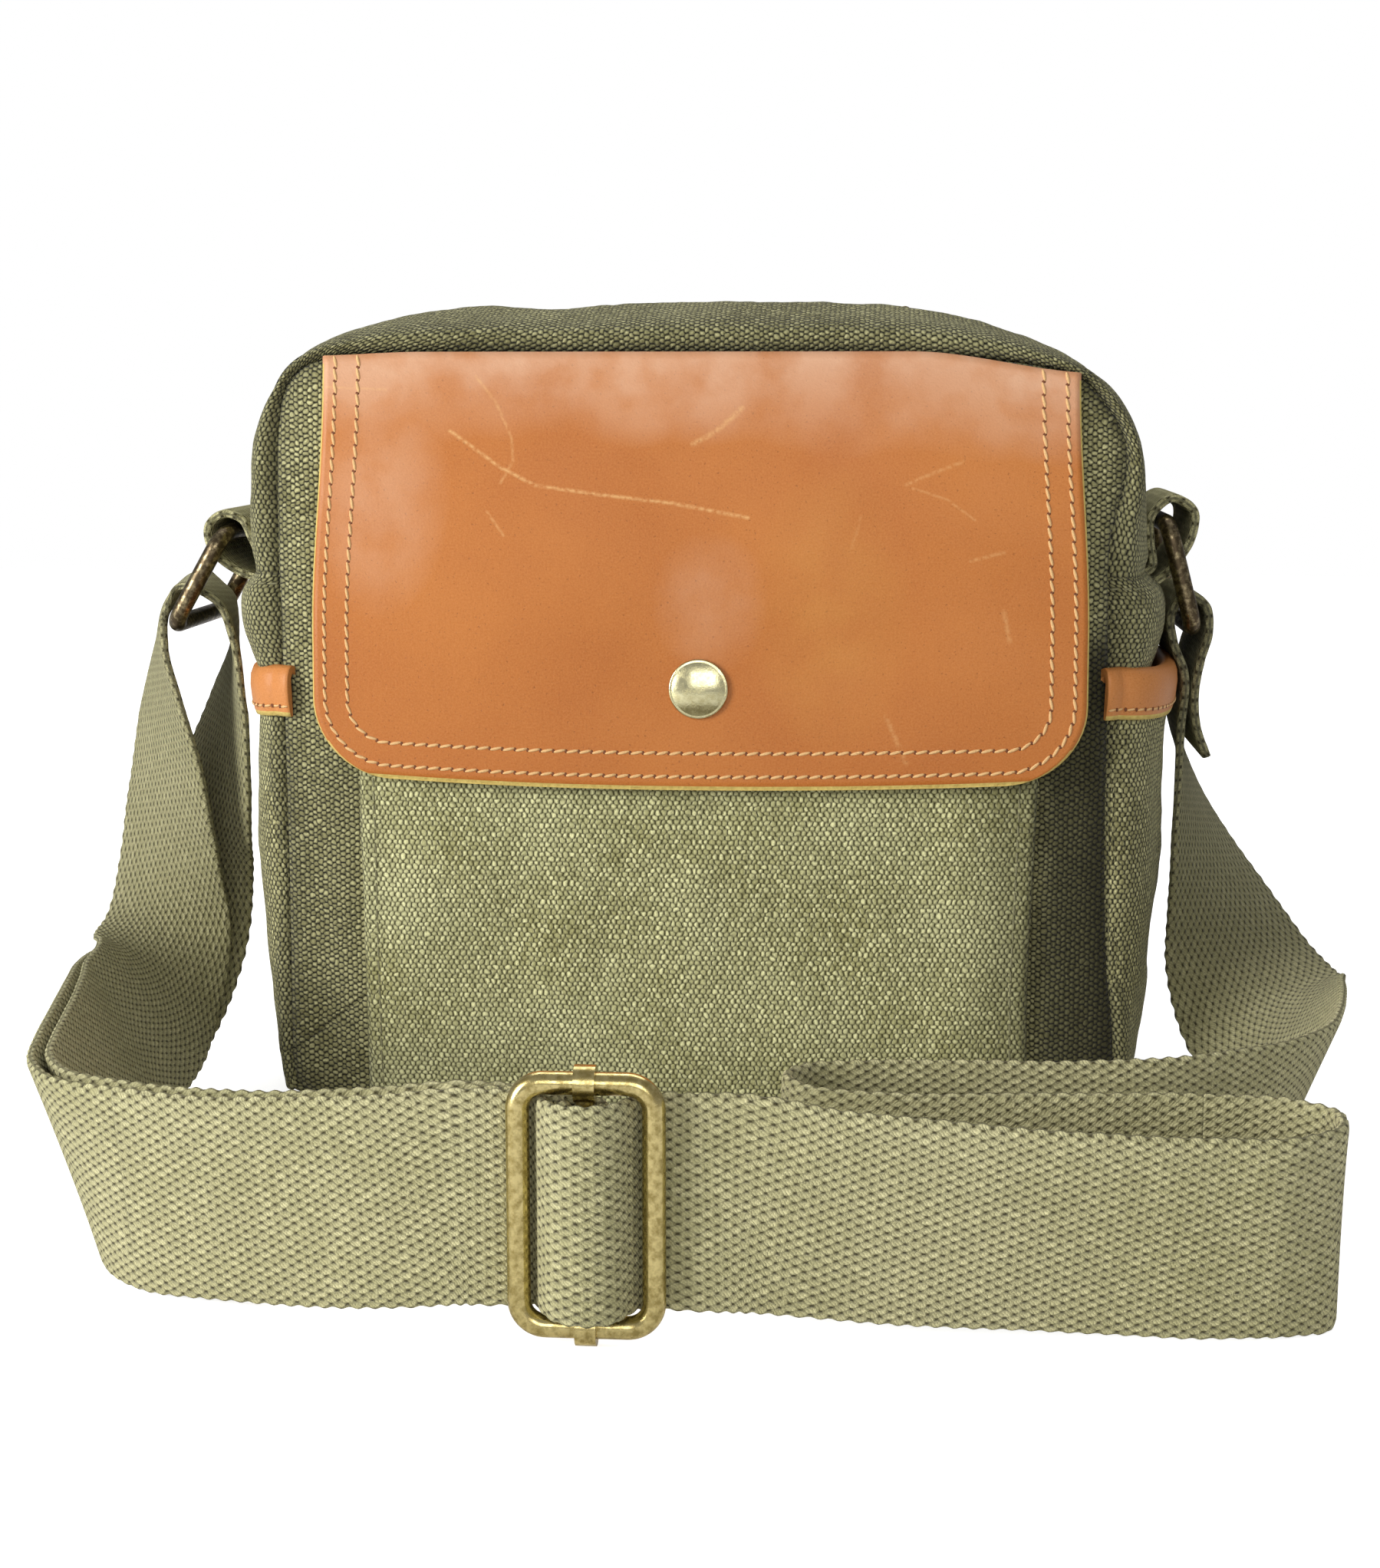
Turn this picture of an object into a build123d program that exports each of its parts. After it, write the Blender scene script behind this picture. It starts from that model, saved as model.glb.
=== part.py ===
from build123d import *
import os
from math import cos, radians, sin

# Small canvas messenger bag standing on its base, with its webbing strap folded up in
# front of it.  Millimetres.  Origin: middle of the base, on the floor.  +X is the
# bag's right as it faces -Y, +Z is up.

# ---------------------------------------------------------------- driving dimensions
body_width = 196.0          # across the top panel, outside
body_depth = 94.0           # front seam to back seam
body_height = 174.0
top_corner_radius = 38.0
bottom_corner_radius = 12.0
panel = 2.0                 # doubled canvas
lining_thickness = 0.8
board_thickness = 2.0
seam_gap = 0.1              # between two sewn pieces
gusset_inset = 2.0          # the lower side panel sits this far inside the top panel
gusset_seam_z = 120.0       # seam where the ring tabs are caught

zip_length = 120.0
zip_slot = 16.0             # clear width between the two halves of the top panel
tape_thickness = 1.0
coil_height = 2.0
coil_outer = 2.6            # half width over both coils
coil_inner = 0.6            # half of the gap the slider's post runs in

pocket_half_width = 73.5
pocket_top_z = 120.0
pocket_bottom_z = 4.0
pocket_reach = 6.0          # how far the front pocket stands out of the front panel
pocket_wall = 1.6

flap_half_width = 83.5
flap_hinge_y = -50.5
flap_hinge_z = 167.5
flap_bottom_z = 75.0
flap_corner_radius = 17.0
flap_tilt = 5.1             # degrees that the flap leans out over the pocket
leather = 1.8
flap_lining_thickness = 0.6
stitch_inset = 2.0          # the flap's lining stops this far inside the leather

snap_x = 1.5
snap_z = 96.5
snap_cap_radius = 6.25
snap_cap_height = 1.6

side_pocket_top_z = 96.0
side_pocket_bottom_z = 13.2
side_pocket_half_depth = 41.0
side_wall = 1.4
binding = 1.2
binding_bottom_z = 86.0
left_binding_x = 104.5      # outer face of the leather rim, from the middle
right_binding_x = 106.0

wire = 4.0                  # all the brass wire is this thick
webbing_width = 38.0
webbing = 2.0               # thickness
ring_inner_length = 40.0
ring_spacing = 24.0         # between the middles of the two long wires
left_ring_top = (-110.6, 127.0)
left_ring_angle = 30.0      # degrees out from hanging straight down
right_ring_top = (104.0, 130.3)
right_ring_angle = 15.0

slide_x = -7.5              # middle of the strap's slide buckle
slide_y = -186.0
slide_height = 46.5
slide_width = 27.0
slide_corner_radius = 6.5
bar_radius = 1.6
lug_radius = 3.2
lug_width = 3.6

# The strap's middle line, hand placed: x, y, z, then the direction across its width.
# strap_left starts behind the slide, runs left, rises to the left ring, turns over it,
# comes back down outside itself and returns to the slide.
strap_left = [
    (-26, -178.3, 24.4, 0, 0, 1), (-30, -178.3, 24.4, 0, 0, 1),
    (-42, -177.6, 23, 0, -0.02, 1),
    (-60, -174.3, 21.2, 0, -0.06, 1), (-77, -169.8, 20, -0.05, -0.06, 1),
    (-90, -164.3, 19.5, -0.16, -0.02, 0.98), (-100.4, -156, 19.2, -0.28, 0, 0.96),
    (-106.8, -144.5, 19.2, -0.34, 0, 0.94), (-111, -128, 19.2, -0.36, 0, 0.93),
    (-115, -108, 19.2, -0.37, 0, 0.93), (-119, -86, 19.4, -0.4, 0, 0.92),
    (-123, -64, 20, -0.47, 0, 0.88), (-124, -44, 22.4, -0.6, 0.02, 0.8),
    (-126.6, -28.5, 27.6, -0.76, 0.12, 0.62), (-128, -17.5, 36.5, -0.86, 0.34, 0.36),
    (-129.2, -11, 49.5, -0.82, 0.56, 0.1), (-130.4, -6.5, 67, -0.68, 0.72, -0.04),
    (-132, -3, 85, -0.5, 0.86, -0.1), (-132, -1, 99, -0.32, 0.94, -0.08),
    (-130.5, 0, 108, -0.26, 0.96, 0), (-123.5, 0, 114, -0.22, 0.97, 0),
    (-116.8, 0, 110.5, -0.2, 0.98, 0), (-114.2, 0, 101.5, -0.24, 0.97, -0.05),
    (-115.8, 0, 86, -0.45, 0.89, -0.1), (-119.5, -0.5, 68, -0.65, 0.75, -0.08),
    (-123.8, -2, 50, -0.84, 0.52, 0.02), (-125.2, -8.5, 34, -0.9, 0.32, 0.28),
    (-127.9, -21.6, 22.1, -0.8, 0.08, 0.58), (-127.8, -42, 18.6, -0.64, 0, 0.76),
    (-125.6, -64, 18.7, -0.49, 0, 0.87), (-122.4, -86, 18.9, -0.4, 0, 0.92),
    (-118.3, -108.5, 18.9, -0.37, 0, 0.93), (-114.2, -129, 18.9, -0.36, 0, 0.93),
    (-109.9, -146, 18.9, -0.34, 0, 0.94), (-102.8, -159, 19, -0.28, 0, 0.96),
    (-91.8, -167.8, 19.3, -0.16, -0.02, 0.98), (-78, -173.4, 19.9, -0.05, -0.06, 1),
    (-60.5, -178.1, 21.1, 0, -0.06, 1), (-42, -182.2, 23, 0, -0.02, 1),
    (-29, -182.8, 24.4, 0, 0, 1), (-24, -182.8, 24.4, 0, 0, 1),
]
# strap_right leaves the slide, doubles back twice, rises to the right ring, goes round
# its lower wire and ends in a tail sewn to itself.
strap_right = [
    (9, -182.8, 24.4, 0, 0, 1), (19, -182.8, 24.4, 0, 0, 1),
    (32, -183, 23, 0, -0.08, 1),
    (55, -182.6, 21.4, 0, -0.15, 0.99), (78, -181.6, 20.2, 0, -0.2, 0.98),
    (97, -180.3, 19.4, 0, -0.2, 0.98), (111, -177.6, 19.2, 0, -0.2, 0.98),
    (118.5, -172, 19.2, 0, -0.14, 0.99), (119.5, -165.5, 19.2, 0, -0.05, 1),
    (113, -160, 19.2, 0, 0, 1), (98, -157.8, 19.2, 0, 0, 1),
    (78, -159.3, 19.2, 0, 0, 1), (58, -161, 19.2, 0, 0, 1),
    (39, -160.8, 19.2, 0, 0, 1), (28.5, -157.2, 19.2, 0, 0, 1),
    (24.7, -150.5, 19.2, 0, 0, 1), (28, -143.7, 19.2, 0, 0, 1),
    (39, -140.3, 19.2, 0, 0, 1), (58, -138.8, 19.2, 0, 0, 1),
    (76, -137.6, 19.2, 0.03, 0, 1), (92, -134.3, 19.2, 0.1, 0, 1),
    (105, -126, 19.2, 0.2, 0, 0.98), (116, -114, 19.2, 0.3, 0, 0.95),
    (123, -101, 19.2, 0.36, 0, 0.93), (126.8, -86, 19.2, 0.4, 0, 0.92),
    (128.6, -71, 19.2, 0.47, 0, 0.88), (129.2, -56, 19.2, 0.58, 0, 0.81),
    (129, -42, 19.6, 0.72, 0.02, 0.7), (127, -29, 23, 0.88, 0.2, 0.4),
    (123.6, -18.5, 31.5, 0.88, 0.46, 0.12), (120.2, -11.5, 43, 0.72, 0.68, -0.1),
    (116, -6, 56, 0.48, 0.86, -0.2), (112, -2, 70, 0.22, 0.95, -0.2),
    (109.4, 0, 84, 0.04, 1, -0.05), (108.9, 0, 97, 0, 1, 0),
    (106.4, 0, 103.5, 0, 1, 0), (105.8, 0, 110, 0, 1, 0),
    (109, 0, 114.4, 0, 1, 0), (113.2, 0, 112, 0, 1, 0),
    (114.2, 0, 106, 0, 1, 0), (112.6, 0, 99.5, 0, 1, 0),
    (111.5, 0, 92, 0, 1, 0), (112.2, 0, 84, 0, 1, 0), (114.6, 0, 77.5, 0, 1, 0),
]
# How the strap is divided: node name, route, first point, last point.
strap_spans = (
    ("strap_left_inner", strap_left, 0, 11),
    ("strap_left_rise_inner", strap_left, 11, 20),
    ("strap_left_rise_outer", strap_left, 20, 29),
    ("strap_left_outer", strap_left, 29, 40),
    ("strap_front_right", strap_right, 0, 10),
    ("strap_folds", strap_right, 10, 25),
    ("strap_right_rise", strap_right, 25, 34),
    ("strap_right_loop", strap_right, 34, 43),
)

# Middle lines seen from above, from the slide's middle: x, y.  The running strap
# passes behind both wires and over the bar; the sewn end goes round the bar under it.
strap_over_bar = [
    (-16.5, 3.2), (-12, 3.4), (-9, 3.0), (-6.9, -1.0), (-4.3, -4.7), (0, -6.0),
    (4.3, -4.7), (6.6, -1.0), (9, 3.0), (12, 3.4), (16.5, 3.2),
]
strap_end_loop = [
    (-20, 5.6), (-11, 5.7), (-6.2, 4.4), (-3.3, -0.3), (-2, -2.5), (0, -3.2),
    (2.3, -2.3), (3.2, 0), (2.3, 2.3), (0, 3.6), (-5.5, 7.1), (-12, 7.8), (-18.5, 7.7),
]
ring_tab_left_line = [
    (-97.4, 118.5), (-101.5, 120.1), (-104.8, 126), (-107, 130.3), (-111.2, 131.6),
    (-114.9, 128.8), (-114.4, 123.8), (-109.6, 119.2), (-103.4, 116.8), (-97.4, 115.9),
]
ring_tab_right_line = [
    (97.4, 118.2), (101, 120.3), (100.6, 125.8), (100.7, 132), (105.2, 135.9),
    (110, 133.1), (109.8, 127.6), (106.4, 121.5), (102, 117.2), (97.4, 115.6),
]

slide_z = slide_height / 2 + lug_radius - wire / 2   # it stands on its lower lug
half_width = body_width / 2
half_depth = body_depth / 2
top_z = body_height
lower_x = half_width - gusset_inset


# ---------------------------------------------------------------- helpers
def save(name, shape):
    export_step(shape, f"parts/{name}.step")


def block(x0, x1, y0, y1, z0, z1):
    centre = ((x0 + x1) / 2, (y0 + y1) / 2, (z0 + z1) / 2)
    return Pos(*centre) * Box(x1 - x0, y1 - y0, z1 - z0)


def outline(inset):
    """The bag's front outline, in a vertical sketch, drawn in by inset all round."""
    width = body_width - 2 * inset
    height = body_height - 2 * inset
    face = Pos(0, body_height / 2) * Rectangle(width, height)
    low, high = face.vertices().group_by(Axis.Y)
    face = fillet(high, top_corner_radius - inset)
    low = face.vertices().group_by(Axis.Y)[0]
    return fillet(low, bottom_corner_radius - inset)


def slab(sketch, y0, y1):
    """Give a front-view sketch its thickness, from y0 back to y1."""
    return extrude(Plane.XZ.offset(-y1) * sketch, amount=y1 - y0)


def stations(route, first, last):
    """Where a strip is cut across: each place, and the directions along and across there.

    Extra places are put between two points of the route where the strip twists.
    """
    places = [Vector(*row[:3]) for row in route]
    across = [Vector(*row[3:]) for row in route]
    steps = [(b - a).normalized() for a, b in zip(places, places[1:])]
    steps = [steps[0], *steps, steps[-1]]
    found = [(places[first], steps[first] + steps[first + 1], across[first])]
    for i in range(first, last):
        count = 1 + int(across[i].get_angle(across[i + 1]) / 9)
        for k in range(1, count):
            f = k / count
            here = places[i] * (1 - f) + places[i + 1] * f
            found.append((here, steps[i + 1], across[i] * (1 - f) + across[i + 1] * f))
        found.append((places[i + 1], steps[i + 1] + steps[i + 2], across[i + 1]))
    return found


def band(route, first=0, last=None, widths=None):
    """A strip of webbing with flat facets, from a rectangle at each of its stations.

    Each row of the route is a place and the direction across the strip there.  Only
    the rows from first to last are made, so two spans of one route meet face to face.
    """
    sections = []
    cuts = stations(route, first, len(route) - 1 if last is None else last)
    for i, (here, along, across) in enumerate(cuts):
        along = along.normalized()
        across = (across - along * across.dot(along)).normalized()
        out = along.cross(across) * (webbing / 2)
        half = across * ((widths[i] if widths else webbing_width) / 2)
        sections.append((here + half + out, here - half + out, here - half - out, here + half - out))
    faces = [Face(Wire.make_polygon(end)) for end in (sections[0], sections[-1])]
    for near, far in zip(sections, sections[1:]):
        # Both broad sides are folded along the same diagonal, so the strip stays even.
        for a, b in ((0, 1), (3, 2), (1, 2), (3, 0)):
            faces.append(Face(Wire.make_polygon((near[a], near[b], far[b]))))
            faces.append(Face(Wire.make_polygon((near[a], far[b], far[a]))))
    return Solid(Shell(faces))


def tab(line):
    """A ring tab: webbing folded round a line drawn in X and Z, its width along Y."""
    return band([(x, 0, z, 0, 1, 0) for x, z in line])


def at_slide(line, widths=None):
    """Webbing standing on edge at the slide, along a line drawn from above."""
    route = [(slide_x + x, slide_y + y, slide_z, 0, 0, 1) for x, y in line]
    return band(route, widths=widths)


os.makedirs("parts", exist_ok=True)

# ---------------------------------------------------------------- body panels
save("front_panel", slab(outline(0), -half_depth, -half_depth + panel))
save("back_panel", slab(outline(0), half_depth - panel, half_depth))

band_y = half_depth - panel - seam_gap
wrap = slab(outline(0) - outline(panel), -band_y, band_y)
bottom_top_z = bottom_corner_radius + 1
save("bottom_panel", wrap & block(-200, 200, -band_y, band_y, -1, bottom_top_z))

upper = wrap & block(-200, 200, -band_y, band_y, gusset_seam_z, top_z + 1)
slot = zip_slot / 2
save("top_panel_front", upper & block(-200, 200, -band_y, -slot - seam_gap, 0, 200))
save("top_panel_back", upper & block(-200, 200, slot + seam_gap, band_y, 0, 200))
for name, x0, x1 in (
    ("zip_end_left", -200, -zip_length / 2),
    ("zip_end_right", zip_length / 2, 200),
):
    save(name, upper & block(x0, x1, -slot, slot, 0, 200))

gusset_low_z = bottom_corner_radius
gusset_high_z = gusset_seam_z + 2
save("gusset_left", block(-lower_x, -lower_x + panel, -band_y, band_y, gusset_low_z, gusset_high_z))
save("gusset_right", block(lower_x - panel, lower_x, -band_y, band_y, gusset_low_z, gusset_high_z))

board_x = lower_x - panel - 7
board_z = panel + 0.2
save("base_board", block(-board_x, board_x, -band_y + 1, band_y - 1, board_z, board_z + board_thickness))

lining_x = lower_x - panel - 0.3
lining_y = band_y - 0.3
lining_z = panel + board_thickness + 0.4
lining_top = 146.0
bag = block(-lining_x, lining_x, -lining_y, lining_y, bottom_corner_radius + 1, lining_top)
bag += block(-board_x, board_x, -lining_y, lining_y, lining_z, bottom_corner_radius + 1)
hollow = block(
    -lining_x + lining_thickness, lining_x - lining_thickness,
    -lining_y + lining_thickness, lining_y - lining_thickness,
    bottom_corner_radius + 1 + lining_thickness, lining_top + 1,
)
hollow += block(
    -board_x + lining_thickness, board_x - lining_thickness,
    -lining_y + lining_thickness, lining_y - lining_thickness,
    lining_z + lining_thickness, lining_top,
)
save("lining", bag - hollow)

# ---------------------------------------------------------------- zip
zip_half = zip_length / 2 - seam_gap
coil_z = top_z - panel / 2
tape_z = coil_z - tape_thickness / 2
for name, side in (("front", -1), ("back", 1)):
    y0, y1 = sorted((side * coil_outer, side * slot))
    save(f"zip_tape_{name}", block(-zip_half, zip_half, y0, y1, tape_z, tape_z + tape_thickness))
    y0, y1 = sorted((side * coil_inner, side * (coil_outer - 0.01)))
    coil = block(-zip_half + 5, zip_half - 5, y0, y1, coil_z - coil_height / 2, coil_z + coil_height / 2)
    save(f"zip_coil_{name}", coil)

stop_z0 = coil_z - coil_height / 2
stops = [
    block(x - 1.5, x + 1.5, -coil_outer, coil_outer, stop_z0, stop_z0 + coil_height)
    for x in (-zip_half + 3, zip_half - 3)
]
save("zip_stops", Compound(children=stops))

# The slider stands at the right end, where the zip is shut.
slider_x = 46.0
plate_half_length = 4.5
plate_half_width = 3.8
plate_gap = coil_height / 2 + 0.2
top_plate_z = coil_z + plate_gap
bottom_plate_z = coil_z - plate_gap
plate = 1.2
x0 = slider_x - plate_half_length
x1 = slider_x + plate_half_length
slider = block(x0, x1, -plate_half_width, plate_half_width, top_plate_z, top_plate_z + plate)
slider += block(x0, x1, -plate_half_width, plate_half_width, bottom_plate_z - plate, bottom_plate_z)
slider += block(slider_x - 2, slider_x + 2, -0.45, 0.45, bottom_plate_z - 0.5, top_plate_z + 0.5)
pin_z = top_plate_z + plate + 1.9
pin_x = slider_x - 1
for side in (-1, 1):
    y0, y1 = sorted((side * 2.2, side * 3.4))
    slider += block(pin_x - 1.2, pin_x + 1.2, y0, y1, top_plate_z + plate - 0.2, pin_z + 1.1)
slider += Pos(pin_x, 0, pin_z) * Rot(90, 0, 0) * Cylinder(0.7, 6.4)
save("zip_slider", slider)

pull_length = 22.0
pull = block(pin_x - pull_length, pin_x - 2.3, -3, 3, pin_z - 0.6, pin_z + 0.6)
pull += block(pin_x - 3, pin_x, -1.9, 1.9, pin_z - 0.6, pin_z + 0.6)
pull += Pos(pin_x, 0, pin_z) * Rot(90, 0, 0) * Cylinder(1.55, 3.8)
pull -= Pos(pin_x, 0, pin_z) * Rot(90, 0, 0) * Cylinder(0.78, 8)
pull -= Pos(pin_x - pull_length + 4, 0, pin_z) * Cylinder(1.5, 4)
save("zip_pull", pull)

# ---------------------------------------------------------------- front pocket
front_y = -half_depth
pocket_y = front_y - pocket_reach
pocket = block(
    -pocket_half_width, pocket_half_width, pocket_y, front_y - seam_gap, pocket_bottom_z, pocket_top_z,
)
pocket -= block(
    -pocket_half_width + pocket_wall, pocket_half_width - pocket_wall,
    pocket_y + pocket_wall, front_y + 1,
    pocket_bottom_z + pocket_wall, pocket_top_z + 1,
)
save("front_pocket", pocket)

# ---------------------------------------------------------------- flap and snap
# The flap is drawn in a plane that hangs from the hinge line and leans out by
# flap_tilt.  In it, x is X and y runs up the flap, with zero at the hinge.
flap_plane = Plane(
    origin=(0, flap_hinge_y, flap_hinge_z),
    x_dir=(1, 0, 0),
    z_dir=(0, -cos(radians(flap_tilt)), sin(radians(flap_tilt))),
)
flap_length = (flap_hinge_z - flap_bottom_z) / cos(radians(flap_tilt))


def flap_sketch(inset):
    sheet = Rectangle(2 * (flap_half_width - inset), flap_length - 0.8 - inset)
    face = Pos(0, 0.4 - flap_length / 2) * sheet
    low = face.vertices().group_by(Axis.Y)[0]
    return fillet(low, flap_corner_radius - inset)


save("flap_leather", extrude(flap_plane.offset(-leather / 2) * flap_sketch(0), amount=leather))
lining_depth = leather / 2 + flap_lining_thickness
snap_y_on_flap = -(flap_hinge_z - snap_z) / cos(radians(flap_tilt))
snap_spot = Pos(snap_x, snap_y_on_flap)
flap_back = flap_plane.offset(-lining_depth)
flap_lining = extrude(flap_back * flap_sketch(stitch_inset), amount=flap_lining_thickness)
flap_lining -= extrude(flap_back * snap_spot * Circle(2.6), amount=5)
save("flap_lining", flap_lining)

strip_z = flap_hinge_z + 1.1
strip_y = flap_hinge_y + 1.2
strip = block(-flap_half_width, flap_half_width, strip_y, front_y - seam_gap, strip_z, strip_z + 3)
save("flap_seam_strip", strip)

cap_base = flap_plane.offset(leather / 2) * snap_spot
dome_radius = (snap_cap_radius ** 2 + snap_cap_height ** 2) / (2 * snap_cap_height)
dome = Pos(0, 0, snap_cap_height - dome_radius) * Sphere(dome_radius)
dome &= Pos(0, 0, snap_cap_height / 2) * Cylinder(snap_cap_radius, snap_cap_height)
save("snap_cap", cap_base * dome)

# The female half sits on the flap's back; its mouth takes the stud on the pocket.
back_of_flap = flap_plane.offset(-lining_depth) * snap_spot
socket_height = 1.4
socket = Pos(0, 0, -socket_height / 2) * Cylinder(5.0, socket_height)
socket -= Pos(0, 0, -socket_height) * Cylinder(2.15, 2.4)
socket += Pos(0, 0, flap_lining_thickness / 2 - 0.05) * Cylinder(2.4, flap_lining_thickness + 0.1)
save("snap_socket", back_of_flap * socket)

pocket_face = Plane(origin=(snap_x, pocket_y, snap_z), x_dir=(1, 0, 0), z_dir=(0, -1, 0))
stud = Pos(0, 0, 0.15) * Cylinder(3.6, 0.2)
stud += Pos(0, 0, 0.75) * Cylinder(1.6, 1.2)
save("snap_stud", pocket_face * stud)
post = Pos(0, 0, -pocket_wall - 0.4) * Cylinder(4.2, 0.7)
save("snap_back", pocket_face * post)

# ---------------------------------------------------------------- side pockets
def tray(side, outer, half, z0, z1):
    """A block from the lower side panel out to outer, on the side given by -1 or 1."""
    x0, x1 = sorted((side * (lower_x + seam_gap), side * outer))
    return block(x0, x1, -half, half, z0, z1)


deep = side_pocket_half_depth
for name, side, rim_x in (("left", -1, left_binding_x), ("right", 1, right_binding_x)):
    wall_x = rim_x - binding
    inner_x = wall_x - side_wall
    inner_depth = deep - side_wall
    wall = tray(side, wall_x, deep, side_pocket_bottom_z, side_pocket_top_z)
    wall -= tray(side, inner_x, inner_depth, side_pocket_bottom_z + side_wall, body_height)
    save(f"side_pocket_{name}", wall)
    rim = tray(side, rim_x, deep + binding, binding_bottom_z, side_pocket_top_z + binding)
    rim -= tray(side, inner_x - binding, inner_depth - binding, 0, body_height)
    cloth = tray(side, wall_x, deep, 0, side_pocket_top_z)
    rim -= cloth - tray(side, inner_x, inner_depth, 0, body_height)
    save(f"side_pocket_binding_{name}", rim)

# ---------------------------------------------------------------- ring tabs and rings
save("ring_tab_left", tab(ring_tab_left_line))
save("ring_tab_right", tab(ring_tab_right_line))


def wire_frame(length, width, corner):
    """A rectangle of round wire in the XY plane; length and width are to wire middles."""
    path = Wire(fillet(Rectangle(length, width).vertices(), corner).face().outer_wire().edges())
    start = path @ 0
    section = Plane(origin=start, z_dir=path % 0) * Circle(wire / 2)
    return sweep(section, path=path)


def ring(top, out_angle, side):
    """A ring that hangs from its top wire at top, swung out by out_angle."""
    frame = wire_frame(ring_inner_length + wire, ring_spacing, 4.5)
    hanging = Pos(0, 0, -ring_spacing / 2) * Rot(0, 90, 0) * Rot(0, 0, 90) * frame
    return Pos(top[0], 0, top[1]) * Rot(0, -side * out_angle, 0) * hanging


save("ring_left", ring(left_ring_top, left_ring_angle, -1))
save("ring_right", ring(right_ring_top, right_ring_angle, 1))

# ---------------------------------------------------------------- slide buckle
frame = wire_frame(slide_height - wire, slide_width - wire, slide_corner_radius - wire / 2)
save("slide_frame", Pos(slide_x, slide_y, slide_z) * Rot(90, 0, 0) * Rot(0, 0, 90) * frame)

# The bar's two ends are rolled round the frame's top and bottom wires.
lug_z = slide_height / 2 - wire / 2
bar = Cylinder(bar_radius, 2 * lug_z - wire - 0.9)
for side in (-1, 1):
    bar += Pos(0, 0, side * lug_z) * Rot(0, 90, 0) * Cylinder(lug_radius, lug_width)
for side in (-1, 1):
    bar -= Pos(0, 0, side * lug_z) * Rot(0, 90, 0) * Cylinder(wire / 2 + 0.02, 2 * lug_width)
save("slide_bar", Pos(slide_x, slide_y, slide_z) * bar)

# ---------------------------------------------------------------- strap
for name, route, first, last in strap_spans:
    save(name, band(route, first, last))

# Both layers on the bar are squeezed a little between the slide's lugs and corners.
squeezed = webbing_width - 2
free = (0, 1, len(strap_over_bar) - 2, len(strap_over_bar) - 1)
widths = [webbing_width if i in free else squeezed for i in range(len(strap_over_bar))]
save("strap_over_bar", at_slide(strap_over_bar, widths))
free = (0, 1, len(strap_end_loop) - 2, len(strap_end_loop) - 1)
widths = [webbing_width if i in free else squeezed for i in range(len(strap_end_loop))]
save("strap_sewn_end", at_slide(strap_end_loop, widths))
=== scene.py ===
"""The messenger bag's looks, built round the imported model.  Lengths here are millimetres."""

import math

import bpy
import numpy as np
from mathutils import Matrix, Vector, noise


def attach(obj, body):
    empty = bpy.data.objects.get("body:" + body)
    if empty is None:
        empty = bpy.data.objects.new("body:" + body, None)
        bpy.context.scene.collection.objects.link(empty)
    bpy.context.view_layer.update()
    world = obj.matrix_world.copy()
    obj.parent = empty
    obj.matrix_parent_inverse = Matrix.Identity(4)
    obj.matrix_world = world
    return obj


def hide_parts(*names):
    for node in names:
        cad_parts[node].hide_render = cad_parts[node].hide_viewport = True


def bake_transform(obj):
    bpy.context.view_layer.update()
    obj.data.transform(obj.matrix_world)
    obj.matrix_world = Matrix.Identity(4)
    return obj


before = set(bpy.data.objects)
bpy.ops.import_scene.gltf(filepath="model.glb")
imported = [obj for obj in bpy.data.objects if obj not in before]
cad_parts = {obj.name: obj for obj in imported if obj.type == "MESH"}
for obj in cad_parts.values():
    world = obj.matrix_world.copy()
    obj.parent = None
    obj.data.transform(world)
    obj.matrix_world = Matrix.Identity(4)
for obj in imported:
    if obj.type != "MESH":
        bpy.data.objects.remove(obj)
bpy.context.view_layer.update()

MM = 0.001
HALF_DEPTH = 47.0           # front seam to the middle

# How thick each sheet is.
CANVAS_THICK, POCKET_THICK, SIDE_POCKET_THICK, TAPE_THICK = 1.6, 2.0, 1.4, 0.8
FLAP_THICK, FLAP_LINING_THICK, LINING_THICK = 1.8, 0.6, 0.7
# Length, width and height of a stitch or a needle hole.
TAB_STITCH, POCKET_STITCH = (1.9, 0.5, 0.45), (2.3, 0.5, 0.45)
FLAP_STITCH, RIM_STITCH, NEEDLE_HOLE = (2.75, 0.7, 0.66), (2.0, 0.55, 0.55), (0.7, 0.9, 0.1)
ZIP_TOOTH = (3.1, 0.75, 1.7)


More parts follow.
